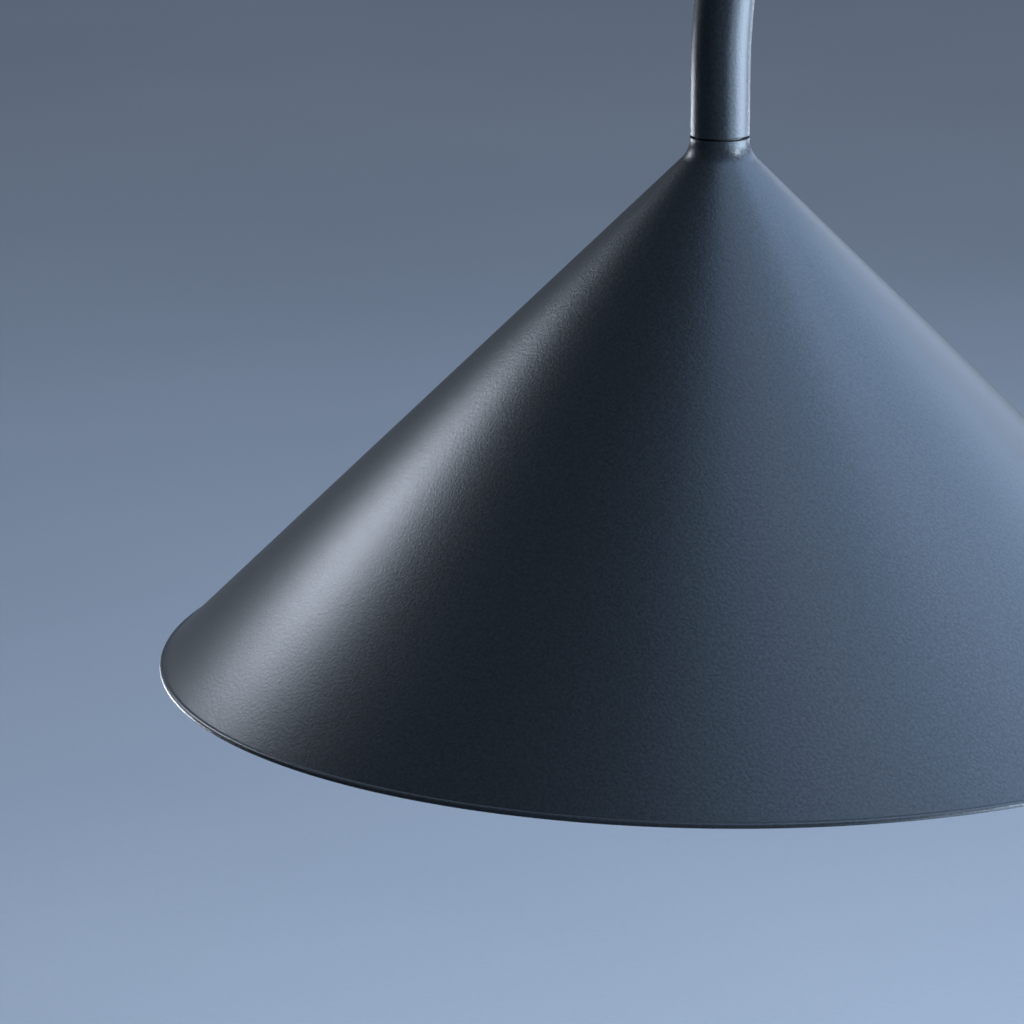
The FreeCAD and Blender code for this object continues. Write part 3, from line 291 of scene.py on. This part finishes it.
plateMap = {"row": 2.0, "round": 60.0}  # mm of the UV map for each ring of a plate, and all the way round it


def plate(outline, normals, edge, centre, way, finish=0):
    # an outline in the hinge plane carried through a thickness: each (inset, height) of the edge
    # moves every point that far in along its normal and that far along the hinge axis;
    # the last ring at each side is closed by a fan
    side = np.cross(hingeWay, way)
    inset, height = np.asarray(edge, float).T
    flat = outline[None] - normals[None] * inset[:, None, None]
    middle = flat.mean(1, keepdims=True)
    ends = [np.broadcast_to(end, flat[:1].shape) for end in (middle[:1], middle[-1:])]
    flat = np.concatenate([ends[0], flat, ends[1]])
    height = np.concatenate([height[:1], height, height[-1:]])
    points = centre + flat[..., :1] * side + flat[..., 1:] * way + height[:, None, None] * hingeWay
    rows, columns = flat.shape[:2]
    along = np.arange(rows) * plateMap["row"]
    return (points.reshape(-1, 3), gridFaces(rows, columns), gridMap(along, columns, plateMap["round"]),
            np.full((rows - 1) * columns, finish))


def arc(centre, radius, start, end, steps):
    # points of an arc and the ways they face, from one angle in degrees to the other;
    # a negative radius faces inwards
    angle = np.radians(np.linspace(start, end, steps))
    way = np.stack([np.cos(angle), np.sin(angle)], -1)
    return np.array(centre) + abs(radius) * way, way * np.sign(radius)


def chained(*arcs):
    # the arcs' points and facing ways one after another, which is a whole outline
    return np.concatenate([points for points, way in arcs]), np.concatenate([way for points, way in arcs])


def bar(low, high, centre, way):
    # a six-sided cutting bar: eight corners in the hinge frame
    side = np.cross(hingeWay, way)
    corner = np.array([[x, y, z] for z in (low[2], high[2]) for x, y in (
        (low[0], low[1]), (high[0], low[1]), (high[0], high[1]), (low[0], high[1]))])
    points = centre + corner @ np.stack([side, hingeWay, way])
    faces = np.array([[0, 3, 2, 1], [4, 5, 6, 7], [0, 1, 5, 4], [1, 2, 6, 5], [2, 3, 7, 6], [3, 0, 4, 7]])
    return points, faces, np.zeros((24, 2)), np.zeros(6, int)


doubled = 2e-7  # metres, under which two points are one


def makeMesh(name, shapes):
    # the shapes in one mesh, in metres; doubled points at poles and closed outlines are merged,
    # and faces turned outwards
    starts = np.cumsum([0] + [len(shape[0]) for shape in shapes[:-1]])
    points = np.concatenate([shape[0] for shape in shapes]) * mm
    faces = np.concatenate([shape[1] + start for shape, start in zip(shapes, starts)])
    mesh = bpy.data.meshes.new(name)
    corners = np.concatenate([shape[2] for shape in shapes])
    choice = np.concatenate([shape[3] for shape in shapes])
    mesh.from_pydata(points, [], faces)
    mesh.uv_layers.new(name="surface").data.foreach_set("uv", corners.ravel())
    mesh.polygons.foreach_set("material_index", choice.astype(np.int32))
    solid = bmesh.new()
    solid.from_mesh(mesh)
    bmesh.ops.remove_doubles(solid, verts=solid.verts, dist=doubled)
    bmesh.ops.recalc_face_normals(solid, faces=solid.faces)
    solid.to_mesh(mesh)
    solid.free()
    return mesh


def makeObject(name, shapes):
    # a new object at the origin, whose mesh holds the shapes in their places
    piece = bpy.data.objects.new(name, makeMesh(name, shapes))
    bpy.context.scene.collection.objects.link(piece)
    return piece


cutEdges = dict(segments=2, angle=30)  # a cut's edges sharper than this angle are broken


def cutAway(piece, tools, bevel=0.0):
    # takes the tools' volumes out of the piece and breaks the new edges
    for number, shape in enumerate(tools):
        tool = makeObject(f"{piece.name}_tool_{number}", [shape])
        change = piece.modifiers.new("cut", "BOOLEAN")
        change.operation = "DIFFERENCE"
        change.solver = "EXACT"
        change.object = tool
    if bevel:
        change = piece.modifiers.new("edges", "BEVEL")
        change.width = bevel * mm
        change.segments = cutEdges["segments"]
        change.limit_method = "ANGLE"
        change.angle_limit = math.radians(cutEdges["angle"])
    whole = bpy.data.meshes.new_from_object(piece.evaluated_get(bpy.context.evaluated_depsgraph_get()))
    cutters = [change.object for change in piece.modifiers if change.type == "BOOLEAN"]
    piece.modifiers.clear()
    piece.data = whole
    for cutter in cutters:
        bpy.data.objects.remove(cutter)


def joined(piece, name, shape):
    # puts a second closed shape into the piece's mesh
    extra = makeObject(name, [shape])
    whole = bmesh.new()
    whole.from_mesh(piece.data)
    whole.from_mesh(extra.data)
    whole.to_mesh(piece.data)
    whole.free()
    bpy.data.objects.remove(extra)


def finished(piece, body, nodes, finishNames, sharp=38):
    # finishes, smooth shading with edges sharper than the angle kept, what the piece rides on
    # and what it stands for
    choice = np.empty(len(piece.data.polygons), np.int32)
    piece.data.polygons.foreach_get("material_index", choice)
    piece.data.materials.clear()  # this also sets every face back to the first finish
    for name in finishNames:
        piece.data.materials.append(finishes[name])
    piece.data.polygons.foreach_set("material_index", np.minimum(choice, len(finishNames) - 1))
    piece.data.polygons.foreach_set("use_smooth", np.ones(len(piece.data.polygons), bool))
    piece.data.set_sharp_from_angle(angle=math.radians(sharp))
    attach(piece, body)
    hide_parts(*nodes)
    return piece


def makePiece(name, shapes, body, nodes, finishNames, sharp=38):
    # the shapes made an object and finished in one go
    return finished(makeObject(name, shapes), body, nodes, finishNames, sharp)


# head: the cone shade, its light and the seam to the neck

seam = pivots["head_swivel"]
seamPath = straightPath(seam, upWay)

shadeSizes = dict(neckRadius=6.0, hole=4.05, neckLong=2.8, halfAngle=45.53, wall=1.2, fillet=5.6, collar=9.0,
                  edge=0.15, rimRadius=113.55, crease=107.35, lipRound=0.85, lipTop=115, lipFoot=0.15,
                  hemIn=0.4, hemTopIn=0.2, hemTall=1.2, hemRound=0.2, hemTopRound=0.3, shoulderRound=0.4,
                  lipSteps=12, steps=288)


def makeShade():
    # the cone's radius grows with the drop below the seam as the tangent of its half angle
    s = shadeSizes
    slope = math.tan(math.radians(s["halfAngle"]))
    across = s["wall"] / math.cos(math.radians(s["halfAngle"]))  # the wall measured level

    def coneAt(drop):
        # the cone's outside radius at a drop below the seam
        return s["neckRadius"] + (drop - s["neckLong"]) * slope

    # the outer line runs down the cone to a crease, then over the rolled lip and in under it
    flank = rounded([
        (s["hole"], 0, 0), (s["neckRadius"], 0, s["edge"]), (s["neckRadius"], -s["neckLong"], s["fillet"]),
        (coneAt(s["crease"]), -s["crease"], 0)], closed=False, steps=12, longest=3.0)
    lipMiddle = s["rimRadius"] - s["lipRound"]
    lipDrop = s["crease"] + s["lipRound"] * math.sin(math.radians(s["lipTop"]))
    roll = arc((lipMiddle, -lipDrop), s["lipRound"], s["lipTop"], 0, s["lipSteps"])[0][1:]
    bottom = -lipDrop - s["lipFoot"]
    inside = coneAt(s["crease"]) - across
    inner = rounded([
        (s["rimRadius"] - s["lipFoot"], bottom, 0), (inside - s["hemIn"], bottom, s["hemRound"]),
        (inside - s["hemTopIn"], bottom + s["hemTall"], s["hemTopRound"]),
        (coneAt(s["collar"]) - across, -s["collar"], s["shoulderRound"]), (s["hole"], -s["collar"], 0),
        (s["hole"], 0, 0)], closed=False, steps=4, longest=4.0)
    profile = np.concatenate([flank, roll, inner])
    white = np.arange(len(profile) - 1) >= len(flank) + len(roll)
    shape = carried(profile, seamPath, s["steps"], white.astype(int))
    makePiece("shade_cone", [shape], "head", ["shade"], ["slate_coat", "white_inside"], 40)


lightShapes = dict(
    # each outline's corners: radius, height over the seam and rounding
    reflector=[(33.0, -46, 0.3), (34.6, -46, 0.3), (62.4, -67, 1.0), (68, -67, 0.4), (68, -69.95, 0.4),
               (59.5, -69.95, 0.3), (59.5, -68.4, 0.3)],
    diffuser=[(0, -70.05, 0), (61.9, -70.05, 0.3), (61.9, -72, 0.5), (0, -72.35, 0)],
    ring=[(62.3, -70.05, 0), (68, -70.05, 0.3), (68, -73.5, 0.7), (60, -73.5, 0.7), (60, -72.1, 0.2),
          (62.3, -72.1, 0)],
    steps=192)


def makeLight():
    # reflector with a flat lip, opal disc under it and the ring that holds the disc,
    # all turned about the seam's axis
    s = lightShapes
    reflector = carried(rounded(s["reflector"]), seamPath, s["steps"])
    diffuser = carried(rounded(s["diffuser"], closed=False), seamPath, s["steps"])
    ring = carried(rounded(s["ring"]), seamPath, s["steps"])
    makePiece("reflector_bowl", [reflector], "head", ["reflector"], ["white_inside"])
    makePiece("diffuser_disc", [diffuser], "head", ["diffuser"], ["opal"])
    makePiece("retaining_ring_turned", [ring], "head", ["retaining_ring"], ["white_inside"])


seamSizes = dict(inner=4.1, outer=5.2, low=0.02, high=0.34, edge=0.05, outerEdge=0.08, steps=128)


def makeSeam():
    # the dark friction ring in the gap between the shade and the tube, set back from both
    s = seamSizes
    washer = rounded([(s["inner"], s["low"], s["edge"]), (s["outer"], s["low"], s["edge"]),
                      (s["outer"], s["high"], s["outerEdge"]), (s["inner"], s["high"], s["edge"])])
    makePiece("seam_ring", [carried(washer, seamPath, s["steps"])], "head", ["seam_washer"],
              ["black_plastic"])


makeShade()
makeLight()
makeSeam()
print("head made")


# tubes

tubeSizes = dict(outer=6.0, bore=5.0, lip=0.18, boreLip=0.2, grub=1.55, holeFrom=2, holeTo=9,
                 holeSteps=24, ring=1.6, steps=96)
neckSizes = dict(gap=0.4, straight=12.0, bend=109.0, turn=math.radians(105), tail=20.0)


def neckPath(station):
    # up from the seam, round an arc whose centre is on +X, then straight on to the wrist
    s = neckSizes
    upright = np.minimum(station, s["straight"])[:, None]
    angle = (np.clip(station - s["straight"], 0, s["bend"] * s["turn"]) / s["bend"])[:, None]
    after = np.maximum(station - s["straight"] - s["bend"] * s["turn"], 0)[:, None]
    xWay = np.array([1.0, 0, 0])
    way = np.sin(angle) * xWay + np.cos(angle) * upWay
    side = np.cos(angle) * xWay - np.sin(angle) * upWay
    start = seam + s["gap"] * upWay
    bow = s["bend"] * ((1 - np.cos(angle)) * xWay + np.sin(angle) * upWay)
    centre = start + upright * upWay + bow + after * way
    return centre, side, hingeWay * np.ones_like(centre)


def makeTube(name, path, low, high, holes, body, node):
    # a ring-shaped profile carried along the path; the grub screws' holes go through the wall
    # on the +Y side
    s = tubeSizes
    profile = rounded([(s["outer"], low, s["lip"]), (s["outer"], high, s["lip"]),
                       (s["bore"], high, s["boreLip"]), (s["bore"], low, s["boreLip"])], longest=s["ring"])
    piece = makeObject(name, [carried(profile, path, s["steps"])])
    hole = rod(s["grub"], s["holeFrom"], s["holeTo"])
    centres = [path(np.array([station]))[0][0] for station in holes]
    cutAway(piece, [carried(hole, acrossPath(centre), s["holeSteps"]) for centre in centres])
    finished(piece, body, [node], ["slate_coat"])


lowerPath = straightPath(pivots["shoulder"], lowerWay)
upperPath = straightPath(pivots["elbow"], upperWay)
# mm along the arm from the hinge at each end to the tube, and half of a spigot
tubeStart, forkReach, halfSpigot = 22.0, 30.0, 9.0
lowerLong = np.linalg.norm(pivots["elbow"] - pivots["shoulder"])
upperLong = np.linalg.norm(pivots["wrist"] - pivots["elbow"])
neckLong = neckSizes["straight"] + neckSizes["bend"] * neckSizes["turn"] + neckSizes["tail"]

makeTube("lower_arm_tube", lowerPath, tubeStart, lowerLong - forkReach,
         [tubeStart + halfSpigot, lowerLong - forkReach - halfSpigot], "lower_arm", "lower_tube")
makeTube("upper_arm_tube", upperPath, tubeStart, upperLong - forkReach,
         [tubeStart + halfSpigot, upperLong - forkReach - halfSpigot], "upper_arm", "upper_tube")
makeTube("bent_neck_tube", neckPath, 0.0, neckLong, [neckLong - halfSpigot], "neck", "neck_tube")
print("tubes made")


# hinges

# bolt and wires are the radii of their holes, and low and high how far a hole is cut along its own axis
hingeSizes = dict(radius=12.0, half=10.95, bolt=2.55, wires=2.0, spigot=4.95, spigotLong=18.0,
                  spigotEdge=0.3, flatRing=0.4, boltSteps=32, wireSteps=24, ring=2.5, steps=96)
forkSizes = dict(block=20.0, corner=1.6, edge=0.6, bevel=0.25, slot=4.45, web=13.5, taperTall=8.5,
                 taperWide=7.1, taperFoot=10.4, taperLow=10.0, taperHigh=25.0, past=30, boltHigh=14,
                 wireLow=-24, wireHigh=-10, stemEnd=5.95, stemLow=-29.9)
tongueSizes = dict(thick=4.0, neck=5.4, flare=3.0, top=18.4, edge=0.35, boltHigh=8, wireLow=5, wireHigh=30,
                   collar=6.0, collarLow=17.5, collarHigh=21.9)
# foot is the flange's height over the table; the other heights are from the hinge or, for flange and
# column, from the foot
turretSizes = dict(foot=21.45, top=-19, head=10.4, headLow=-20, column=9.0, columnHigh=-21.4,
                   columnFoot=4.5, flange=13.5, flangeTall=3, spindle=6.0, spindleLow=-50.5, tip=4.0,
                   tipLow=-55.4, bore=2.0)


def edgeRound(half, radius, steps=4):
    # (inset, height) through a thickness, from one flat to the other, with a quarter round at each edge
    angle = np.linspace(0, math.pi / 2, steps + 1)
    inset, rise = radius * (1 - np.sin(angle)), radius * (1 - np.cos(angle))
    low = np.stack([inset, -half + rise], -1)
    high = np.stack([inset, half - rise], -1)[::-1]
    flat = radius + hingeSizes["flatRing"]
    return np.concatenate([[[flat, -half]], low, high, [[flat, half]]])


def makeFork(name, pivot, way, body, node, stem):
    # a round-headed block, turned down to a cone at its bottom and slotted for the tongue, on its stem;
    # way points from the tube to the hinge
    h, s = hingeSizes, forkSizes
    wide, deep, corner, past = h["radius"], s["block"], s["corner"], s["past"]
    bulge = arc((0, 0), wide, 0, 180, 49)
    left = arc((-wide + corner, -deep + corner), corner, 180, 270, 7)
    right = arc((wide - corner, -deep + corner), corner, 270, 360, 7)
    outline, normals = chained(bulge, left, right)
    edge = edgeRound(h["half"], s["edge"])
    block = makeObject(name, [plate(outline, normals, edge, pivot, way)])
    path = straightPath(pivot, way)
    steep = s["taperTall"] / s["taperWide"]
    low, high = s["taperLow"], s["taperHigh"]
    lowTop, highTop = (-deep + (radius - s["taperFoot"]) * steep for radius in (low, high))
    cutAway(block, [
        carried([(low, lowTop), (high, lowTop), (high, highTop), (low, lowTop)], path, h["steps"]),
        bar((-past, -s["slot"], -s["web"]), (past, s["slot"], past), pivot, way),
        carried(rod(h["bolt"], -s["boltHigh"], s["boltHigh"]), acrossPath(pivot), h["boltSteps"]),
        carried(rod(h["wires"], s["wireLow"], s["wireHigh"]), path, h["wireSteps"])], s["bevel"])
    joined(block, name + "_stem", carried(stem, path, h["steps"]))
    finished(block, body, [node], ["slate_aluminium"], 32)


def armStem():
    # the cone from the block to the tube's end, and the spigot in the tube with the wires' way through it
    h, s = hingeSizes, forkSizes
    foot, top, end = s["taperFoot"], -s["block"], -forkReach - h["spigotLong"]
    return rounded([
        (h["wires"], top + 1, 0), (foot, top + 1, 0), (foot, top, 0.2), (s["stemEnd"], s["stemLow"], 0.2),
        (h["spigot"], s["stemLow"], 0.0), (h["spigot"], end, h["spigotEdge"]), (h["wires"], end, 0)],
        longest=h["ring"])


def turretStem():
    # the column on the base's swivel, with a foot flange and the hollow spindle below it
    s = turretSizes
    foot = s["foot"] - pivots["shoulder"][2]
    return rounded([
        (s["tip"], s["top"], 0), (s["head"], s["top"], 0), (s["head"], s["headLow"], 0.2),
        (s["column"], s["columnHigh"], 0.6), (s["column"], foot + s["columnFoot"], 2.0),
        (s["flange"], foot + s["flangeTall"], 0.8), (s["flange"], foot, 0.4), (s["spindle"], foot, 0),
        (s["spindle"], s["spindleLow"], 0.2), (s["tip"], s["spindleLow"], 0), (s["tip"], s["tipLow"], 0.3),
        (s["bore"], s["tipLow"], 0), (s["bore"], s["top"], 0)], longest=hingeSizes["ring"])


def makeTongue(name, pivot, way, body, node):
    # a disc with a neck that flares from it, then a round collar against the tube and a spigot inside it
    h, s = hingeSizes, tongueSizes
    wide, narrow, flare, top = h["radius"], s["neck"], s["flare"], s["top"]
    height = math.sqrt((wide + flare) ** 2 - (narrow + flare) ** 2)
    lean = math.degrees(math.atan2(height, narrow + flare))
    disc = arc((0, 0), wide, 180 - lean, 360 + lean, 73)
    right = arc((narrow + flare, height), -flare, 180 + lean, 180, 9)
    left = arc((-narrow - flare, height), -flare, 0, -lean, 9)
    ends = (np.array([[narrow, top], [-narrow, top]]), np.array([[1.0, 0.0], [-1.0, 0.0]]))
    outline, normals = chained(disc, right, ends, left)
    edge = edgeRound(s["thick"], s["edge"], 3)
    piece = makeObject(name, [plate(outline, normals, edge, pivot, way)])
    path = straightPath(pivot, way)
    cutAway(piece, [
        carried(rod(h["bolt"], -s["boltHigh"], s["boltHigh"]), acrossPath(pivot), h["boltSteps"]),
        carried(rod(h["wires"], s["wireLow"], s["wireHigh"]), path, h["wireSteps"])])
    end = tubeStart + h["spigotLong"]
    collar = rounded([
        (h["wires"], s["collarLow"], 0), (s["collar"], s["collarLow"], 0.5),
        (s["collar"], s["collarHigh"], 0.2), (h["spigot"], s["collarHigh"], 0),
        (h["spigot"], end, h["spigotEdge"]), (h["wires"], end, 0)], longest=h["ring"])
    joined(piece, name + "_collar", carried(collar, path, h["steps"]))
    finished(piece, body, [node], ["slate_aluminium"], 32)


# radius and height of a cap's face: a slightly domed middle, a ring groove and a rounded rim
capFace = [(0, 1.5), (4.0, 1.46), (8.6, 1.35), (8.8, 1.15), (9.2, 1.15), (9.4, 1.3), (11.2, 1.25),
           (11.75, 1.05), (11.95, 0.75), (11.95, 0.05), (11.8, 0.0), (0, 0)]


def makeCaps(name, pivot, body, node):
    # two turned discs over the bolt's ends, the second one mirrored
    shapes = []
    for turn in (1, -1):
        rings = np.array(capFace) * [1, turn] + [0, turn * hingeSizes["half"]]
        shapes.append(carried(rings, acrossPath(pivot), hingeSizes["steps"]))
    makePiece(name, shapes, body, [node], ["turned_slate"], 25)


makeFork("turret_fork", pivots["shoulder"], upWay, "turret", "shoulder_fork", turretStem())
makeFork("elbow_fork_coated", pivots["elbow"], lowerWay, "lower_arm", "elbow_fork", armStem())
makeFork("wrist_fork_coated", pivots["wrist"], upperWay, "upper_arm", "wrist_fork", armStem())
makeTongue("shoulder_tongue_coated", pivots["shoulder"], lowerWay, "lower_arm", "shoulder_tongue")
makeTongue("elbow_tongue_coated", pivots["elbow"], upperWay, "upper_arm", "elbow_tongue")
makeTongue("wrist_tongue_coated", pivots["wrist"], upperWay, "neck", "wrist_tongue")
makeCaps("shoulder_cap_pair", pivots["shoulder"], "turret", "shoulder_caps")
makeCaps("elbow_cap_pair", pivots["elbow"], "lower_arm", "elbow_caps")
makeCaps("wrist_cap_pair", pivots["wrist"], "upper_arm", "wrist_caps")
print("hinges made")


# base

basePath = straightPath(np.zeros(3), upWay)
baseSizes = dict(radius=100.0, tall=18.0, wall=1.5, round=2.5, low=2.6, hole=10.05, inletHigh=9.8,
                 inletHole=4.0, inletFrom=95, inletTo=103, buttonX=-62.0, buttonHole=8.6, buttonFrom=14,
                 buttonTo=20, inletSteps=48, buttonSteps=96, bushSteps=128, steps=288)
baseShapes = dict(
    # each outline's corners: radius, height over the table and rounding
    bush=[(6.05, 9, 0.2), (10, 9, 0.2), (10, 18.02, 0), (14, 18.02, 0.15), (14, 21, 0.6), (6.05, 21, 0.2)],
    bezel=[(7.3, 16.5, 0), (8.5, 16.5, 0.1), (8.5, 18.02, 0), (10, 18.02, 0.1), (9.7, 18.9, 0.4),
           (7.3, 18.9, 0.3)],
    push=[(0, 11.2, 0), (3, 11.2, 0.2), (3, 15.2, 0), (7, 15.2, 0.2), (7, 20.8, 0.8), (4.6, 20.72, 1.0),
          (0, 20.35, 0)])


def makeBase():
    # a flat spun cover, the bush the turret turns in, and the push switch with its bezel
    s = baseSizes
    inside = s["radius"] - s["wall"]
    cover = rounded([
        (s["hole"], s["tall"], 0.1), (s["radius"], s["tall"], s["round"]), (s["radius"], s["low"], 0.3),
        (inside, s["low"], 0.3), (inside, s["tall"] - s["wall"], 1.2),
        (s["hole"], s["tall"] - s["wall"], 0.1)], steps=8)
    piece = makeObject("base_cover_spun", [carried(cover, basePath, s["steps"])])
    button = straightPath(np.array([s["buttonX"], 0, 0]), upWay)
    sideways = straightPath(np.array([0, 0, s["inletHigh"]]), np.array([1.0, 0, 0]))
    cutAway(piece, [
        carried(rod(s["buttonHole"], s["buttonFrom"], s["buttonTo"]), button, s["buttonSteps"]),
        carried(rod(s["inletHole"], s["inletFrom"], s["inletTo"]), sideways, s["inletSteps"])])
    finished(piece, "base", ["base_cover"], ["slate_coat"], 32)
    bush = carried(rounded(baseShapes["bush"]), basePath, s["bushSteps"])
    bezel = carried(rounded(baseShapes["bezel"]), button, s["buttonSteps"])
    push = carried(rounded(baseShapes["push"], closed=False, longest=1.0), button, s["buttonSteps"])
    makePiece("pivot_bush_turned", [bush], "base", ["pivot_bush"], ["turned_slate"])
    makePiece("switch_bezel_turned", [bezel], "base", ["switch_bezel"], ["turned_slate"])
    makePiece("switch_button_turned", [push], "button", ["switch_button"], ["turned_aluminium"])


footSizes = dict(radius=94, tall=2, low=0.5, high=0.2, holes=60, hole=4.5, holeFrom=-1, holeTo=3,
                 holeSteps=48, steps=256)


def makeFoot():
    # a flat rubber disc with four holes for the base screws, on the diagonals
    s = footSizes
    foot = rounded([(0, 0, 0), (s["radius"], 0, s["low"]), (s["radius"], s["tall"], s["high"]),
                    (0, s["tall"], 0)], closed=False)
    piece = makeObject("foot_pad_moulded", [carried(foot, basePath, s["steps"])])
    spot = s["holes"] * math.cos(math.radians(45))
    hole = rod(s["hole"], s["holeFrom"], s["holeTo"])
    cutAway(piece, [carried(hole, straightPath(np.array([x, y, 0]), upWay), s["holeSteps"])
                    for x in (spot, -spot) for y in (spot, -spot)])
    finished(piece, "base", ["foot_pad"], ["foot_rubber"], 32)


makeBase()
makeFoot()
print("base made")


# floor, light and camera

floorLook = dict(dark="a6adb5", light="adb4bb", metal=0.0, rough=0.7, roughSpan=0.05, grain=3.0, cloud=400,
                 bump=0.05, bumpDepth=0.1)  # a pale painted sheet
floorSizes = dict(rings=[(0, 0), (2000, 0), (20000, 0)], drop=0.02, steps=96)  # mm


def makeFloor():
    # a pale sheet reaching far past every view, just under the lamp
    s = floorSizes
    disc = carried(s["rings"], straightPath(np.zeros(3) - s["drop"] * upWay, upWay), s["steps"])
    floor = makeObject("floor", [disc])
    floor.data.materials.append(makeFinish("floor_finish", floorLook))


# the view: its turn from +X, the camera's own turn, tilt and lens, and its place from the shade's top
# in metres
view = dict(turn=40, yaw=-2.38, pitch=14.45, lens=178.2, sensor=36, back=1.0, up=0.18, farthest=100)
turnOfView = math.radians(view["turn"])
away = np.array([math.cos(turnOfView), math.sin(turnOfView), 0.0])
right = np.array([math.sin(turnOfView), -math.cos(turnOfView), 0.0])
shadeLow, shadeHigh = (np.array(corner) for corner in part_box("shade"))
target = np.array([(shadeLow[0] + shadeHigh[0]) / 2, (shadeLow[1] + shadeHigh[1]) / 2, shadeHigh[2]])


def placed(item, spot, way):
    # puts a light or camera at the spot with its -Z along the way and its X level
    forward = unit(np.array(way))
    level = unit(np.cross(forward, upWay))
    turn = np.stack([level, np.cross(level, forward), -forward], -1)
    item.matrix_world = Matrix.Translation(spot) @ Matrix(turn.tolist()).to_4x4()
    bpy.context.scene.collection.objects.link(item)


def makeCamera():
    # the way is turned from straight away by the yaw, then tipped down by the pitch
    yaw, pitch = math.radians(view["yaw"]), math.radians(view["pitch"])
    level = math.sin(yaw) * right + math.cos(yaw) * away
    camera = bpy.data.objects.new("camera", bpy.data.cameras.new("camera"))
    camera.data.lens = view["lens"]
    camera.data.sensor_width = view["sensor"]
    camera.data.clip_end = view["farthest"]
    placed(camera, target - view["back"] * away + view["up"] * upWay,
           math.cos(pitch) * level - math.sin(pitch) * upWay)
    bpy.context.scene.camera = camera


lights = {
    # soft boxes: place (right, away, up) from the shade's top in metres, size in metres, radiance and colour
    "streak": dict(place=(-0.43, 0.325, 0.15), size=(0.13, 0.12), radiance=14, colour="f0f5ff"),
    "overhead": dict(place=(0.45, -0.1, 1.3), size=(1.0, 1.0), radiance=2.5, colour="cadfff"),
    "right": dict(place=(0.9, 0.5, 0.78), size=(1.1, 1.1), radiance=3.8, colour="c2dcff"),
    "behind": dict(place=(0.5, 3.2, 2.4), size=(3.0, 2.0), radiance=1.6, colour="cfe0ff"),
    "rightBehind": dict(place=(0.85, 1.45, 0.3), size=(0.9, 0.7), radiance=1.8, colour="d4e4ff"),
    "side": dict(place=(1.1, -0.05, -0.1), size=(1.3, 0.5), radiance=20, spread=90, colour="e0eeff"),
    "frontRight": dict(place=(0.9, -0.95, -0.15), size=(0.5, 0.5), radiance=6, spread=90, colour="dcebff"),
    "neckKey": dict(place=(0.9, -0.35, 0.33), size=(0.3, 0.22), radiance=40, spread=80, colour="f2f7ff"),
    "lowLeft": dict(place=(-0.60, 0.58, -0.2), size=(0.30, 0.12), radiance=20, spread=90, colour="f2f7ff"),
    "lowRight": dict(place=(0.62, 0.78, -0.22), size=(0.45, 0.14), radiance=8, spread=90, colour="e0eeff"),
}
sky = dict(colour="b9c6d6", strength=0.2)  # dim even light from all round
aimDown = 0.06  # every box points this far under the shade's top, in metres


def makeLights():
    # power is radiance times pi times the area; a narrow spread brightens a box's middle,
    # so its power is cut by 1 - half / tan(half)
    for name, s in lights.items():
        lamp = bpy.data.lights.new(name, "AREA")
        lamp.shape = "RECTANGLE"
        lamp.size, lamp.size_y = s["size"]
        lamp.spread = math.radians(s.get("spread", 180))
        half = lamp.spread / 2
        narrowing = 1 - half / math.tan(half) if "spread" in s else 1.0
        lamp.energy = s["radiance"] * narrowing * math.pi * lamp.size * lamp.size_y
        lamp.color = linear(s["colour"])[:3]
        spot = target + s["place"][0] * right + s["place"][1] * away + s["place"][2] * upWay
        box = bpy.data.objects.new(name, lamp)
        box.visible_camera = False
        placed(box, spot, target - aimDown * upWay - spot)
    world = bpy.data.worlds.new("studio")
    bpy.context.scene.world = world
    world.use_nodes = True
    background = world.node_tree.nodes["Background"]
    background.inputs["Color"].default_value = linear(sky["colour"])
    background.inputs["Strength"].default_value = sky["strength"]


makeFloor()
makeCamera()
makeLights()
bpy.context.scene.view_settings.view_transform = "Standard"
print("stage made")
